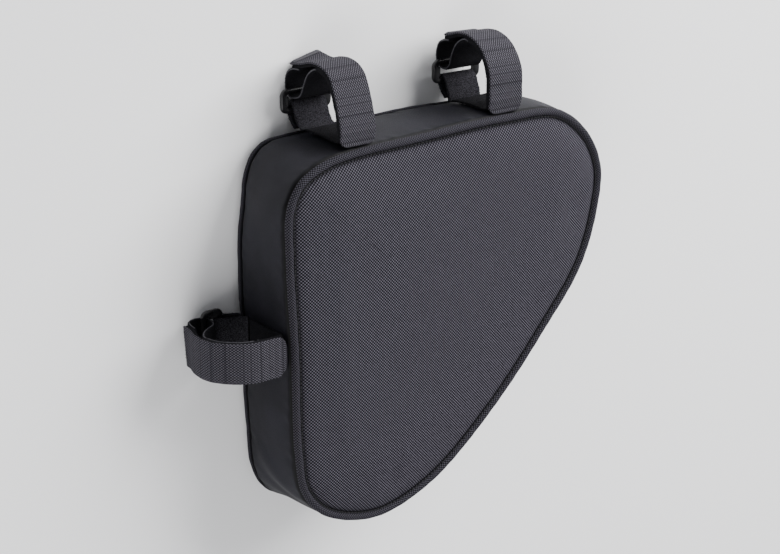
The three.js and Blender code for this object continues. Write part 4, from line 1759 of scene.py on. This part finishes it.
    def ring(self) -> None:
        """Make the plastic ring.

        It bows backwards in the middle of its long bars, its end bars are wider towards the
        inside, and its section is a superellipse, a little deeper than wide.
        """
        size = self.ring_sizes
        half = np.array([size.width - size.bar, size.height - size.bar]) / 2
        quarter = np.linspace(0, np.pi / 2, size.quarter_points)
        arcs = []
        for k, signs in enumerate(((1, 1), (-1, 1), (-1, -1), (1, -1))):
            turn = quarter + k * np.pi / 2
            corner = np.array(signs) * (half - size.bar)
            arcs.append(corner + size.bar * np.stack([np.cos(turn), np.sin(turn)], axis=1))
        path = evenly(np.vstack([*arcs, arcs[0][:1]]), size.steps)
        out = loop_normals(path)[:-1]
        path = path[:-1]
        radial, axial = (0.5 * size.bar * part for part in squarish(circle(size.sides), size.corner))
        ends = smoothstep(*(share * half[0] for share in size.ends), np.abs(path[:, 0]))
        wide = np.where(radial < 0, 1 + size.end_bar * ends[:, None], 1.0) * radial
        xy = path[:, None] + out[:, None] * wide[..., None]
        bow = size.bow * (1 - (path[:, 0] / half[0]) ** 2)
        setback = (1 - self.ahead - self.forward) * self.bag.gusset_depth + size.setback
        local = np.stack([
            setback + axial * size.deeper + bow[:, None],
            size.level + self.lift * self.bag.loop_height + xy[..., 1],
            self.aside * self.bag.strap_width + xy[..., 0],
        ])
        piece = lofted(f"{self.name}_plastic_ring", self.on_bag(*local), cyclic=True)
        dress(piece, Look.PLASTIC, "black_plastic", f"{self.name}_ring")

    def build(self, rng: Random) -> None:
        """Make the strap's layers with their fibres and edges, and its ring.

        Args:
            rng: the source of random places.
        """
        layers = (
            Layer("webbing", "strap", self.face_line(), -0.6, 0.65, 150, Look.WEBBING, "webbing",
                  round_start=self.round_start, skew=self.skew),
            Layer("pile", "", self.strap_line(), self.pile_back(170), self.pile_face, 170, Look.PILE, "pile",
                  inset=0.1, skew=self.skew),
            Layer("cinch_layer", "cinch", self.cinch_line(), -1.0, 1.05, 170, Look.PILE, "pile"),
            Layer("tab_layer", "tab", self.tab_line(), -0.9, 0.9, 90, Look.GREY_PILE, "pile", inset=0.2),
        )
        rings = {layer.name: self.strip(layer) for layer in layers}
        for row in FIBRES:
            self.fuzz(row, rings[row.layer], rng)
        self.cut_threads(rings["webbing"], rng)
        self.cut_rows(rings["webbing"])
        cinch = evenly(self.cinch_line(), self.cinch_steps)
        # Pale cords along the cinch layer's edges: a painted highlight on those edges
        self.selvedge("cinch_edge_highlight", cinch if self.rim else cinch[self.bare_cinch :])
        # The side strap's pile gets a pale rim cord too, a painted highlight along its edge
        if self.rim:
            self.selvedge("pile_rim_highlight", self.rim_line(), self.rim_proud)
        self.ring()


def strap_loops(outline: Outline) -> list[StrapLoop]:
    """The three straps, with the places and cut ends that the bag shows."""
    return [
        StrapLoop(
            "upper_left", Edge.TOP, -0.196, outline, RoutePoint(1.1, 0.9), fold=0.385,
            forward=-0.024, lean=0.08, skew=0.27, aside=-0.06, frayed=2.4, extra=2.1, twist=0.12,
        ),
        StrapLoop(
            "upper_right", Edge.TOP, 0.265, outline, RoutePoint(0.94, 0.885), fold=0.331,
            forward=0.056, drop=0.05, aside=-0.05,
        ),
        StrapLoop(
            "side", Edge.LEFT, -0.077, outline, RoutePoint(0.96, 0.885), fold=0.34,
            ahead=0.04, lift=0.075, skew=0.12, round_start=7.0, foot=2.3, rim=True,
        ),
    ]


# The studio


class Lamp(NamedTuple):
    """An area light: its direction from the bag, distance and side in metres, and watts."""

    name: str
    towards: Triple
    away: float
    size: float
    power: float


@dataclass(frozen=True)
class Studio:
    """Camera at the photograph's angle, a pale floor and soft light."""

    azimuth: float = math.radians(35.87)
    elevation: float = math.radians(18.76)
    roll: float = math.radians(-0.11)
    distance: float = 1501.3
    focal: float = 2500.0
    frame_width: float = 780.0
    sensor: float = 36.0
    target: Triple = (-25.0, 15.0, BAG.front_seam)
    view_depth: float = 20.0
    floor_half: float = 6000.0
    floor_colour: Triple = (0.87, 0.87, 0.875)
    floor_rough: float = 0.9
    floor_shine: float = 0.2
    lamps: tuple[Lamp, ...] = (
        Lamp("key", (0.6, 0.62, 0.52), 1.7, 1.4, 84.0),
        Lamp("fill", (-0.62, -0.46, 0.62), 2.2, 1.8, 46.0),
    )
    glow: Triple = (0.95, 0.96, 1.0)
    glow_strength: float = 0.45

    def axes(self) -> Array:
        """The camera's right, up and back axes in the bag's frame, one in each row."""
        ca, sa = math.cos(self.azimuth), math.sin(self.azimuth)
        ce, se = math.cos(self.elevation), math.sin(self.elevation)
        right = np.array([ca, 0.0, sa])
        up = np.array([sa * se, ce, -ca * se])
        back = np.array([-sa * ce, se, ca * ce])
        c, s = math.cos(self.roll), math.sin(self.roll)
        return np.stack([c * right + s * up, c * up - s * right, back])

    def camera(self) -> None:
        """Put the camera on its line of sight and make it the scene's."""
        axes = self.axes()
        data = bpy.data.cameras.new("camera")
        data.sensor_width = self.sensor
        data.lens = self.sensor * self.focal / self.frame_width
        data.clip_end = self.view_depth
        camera = bpy.data.objects.new("camera", data)
        place = (np.array(self.target) + axes[2] * self.distance) * MM
        camera.matrix_world = Matrix.Translation(Vector(place)) @ Matrix(axes.T.tolist()).to_4x4()
        bpy.context.scene.collection.objects.link(camera)
        bpy.context.scene.camera = camera

    @staticmethod
    def light(lamp: Lamp) -> None:
        """Put an area light on a direction from the bag, facing it."""
        data = bpy.data.lights.new(lamp.name, "AREA")
        data.size = lamp.size
        data.energy = lamp.power
        light = bpy.data.objects.new(lamp.name, data)
        aim = Vector(lamp.towards).normalized()
        light.location = Vector((0, 0, BAG.front_seam * MM / 2)) + aim * lamp.away
        light.rotation_mode = "QUATERNION"
        light.rotation_quaternion = aim.to_track_quat("Z", "Y")
        bpy.context.scene.collection.objects.link(light)

    def floor(self) -> None:
        """Lay a pale floor under the bag."""
        corners = self.floor_half * np.array([(-1, -1, 0), (1, -1, 0), (1, 1, 0), (-1, 1, 0)], float)
        floor = mesh_piece("floor", corners, [np.array([[0, 1, 2, 3]])])
        paint = Shader("pale_floor").finish(self.floor_colour, self.floor_rough, self.floor_shine)
        floor.data.materials.append(paint)

    def build(self) -> None:
        """Make the camera, the floor, the lights and the world's glow."""
        self.camera()
        self.floor()
        for lamp in self.lamps:
            self.light(lamp)
        world = bpy.data.worlds.new("studio")
        world.use_nodes = True
        glow = world.node_tree.nodes["Background"]
        glow.inputs["Color"].default_value = (*self.glow, 1.0)
        glow.inputs["Strength"].default_value = self.glow_strength
        bpy.context.scene.world = world


def main() -> None:
    """Build the studio and the bag, sub-assembly by sub-assembly."""
    logging.basicConfig(level=logging.INFO, format="%(name)s: %(message)s")
    rng = np.random.default_rng(SEED)
    Studio().build()
    outline = Outline(BAG, OUTLINE)
    Gusset(outline).build()
    for facing in Facing:
        Panel(facing, outline).build()
        piping = Piping(facing, outline)
        piping.cord()
        piping.stitches()
    Zip(outline).build()
    for strap in strap_loops(outline):
        strap.build(rng)


if __name__ == "__main__":
    main()
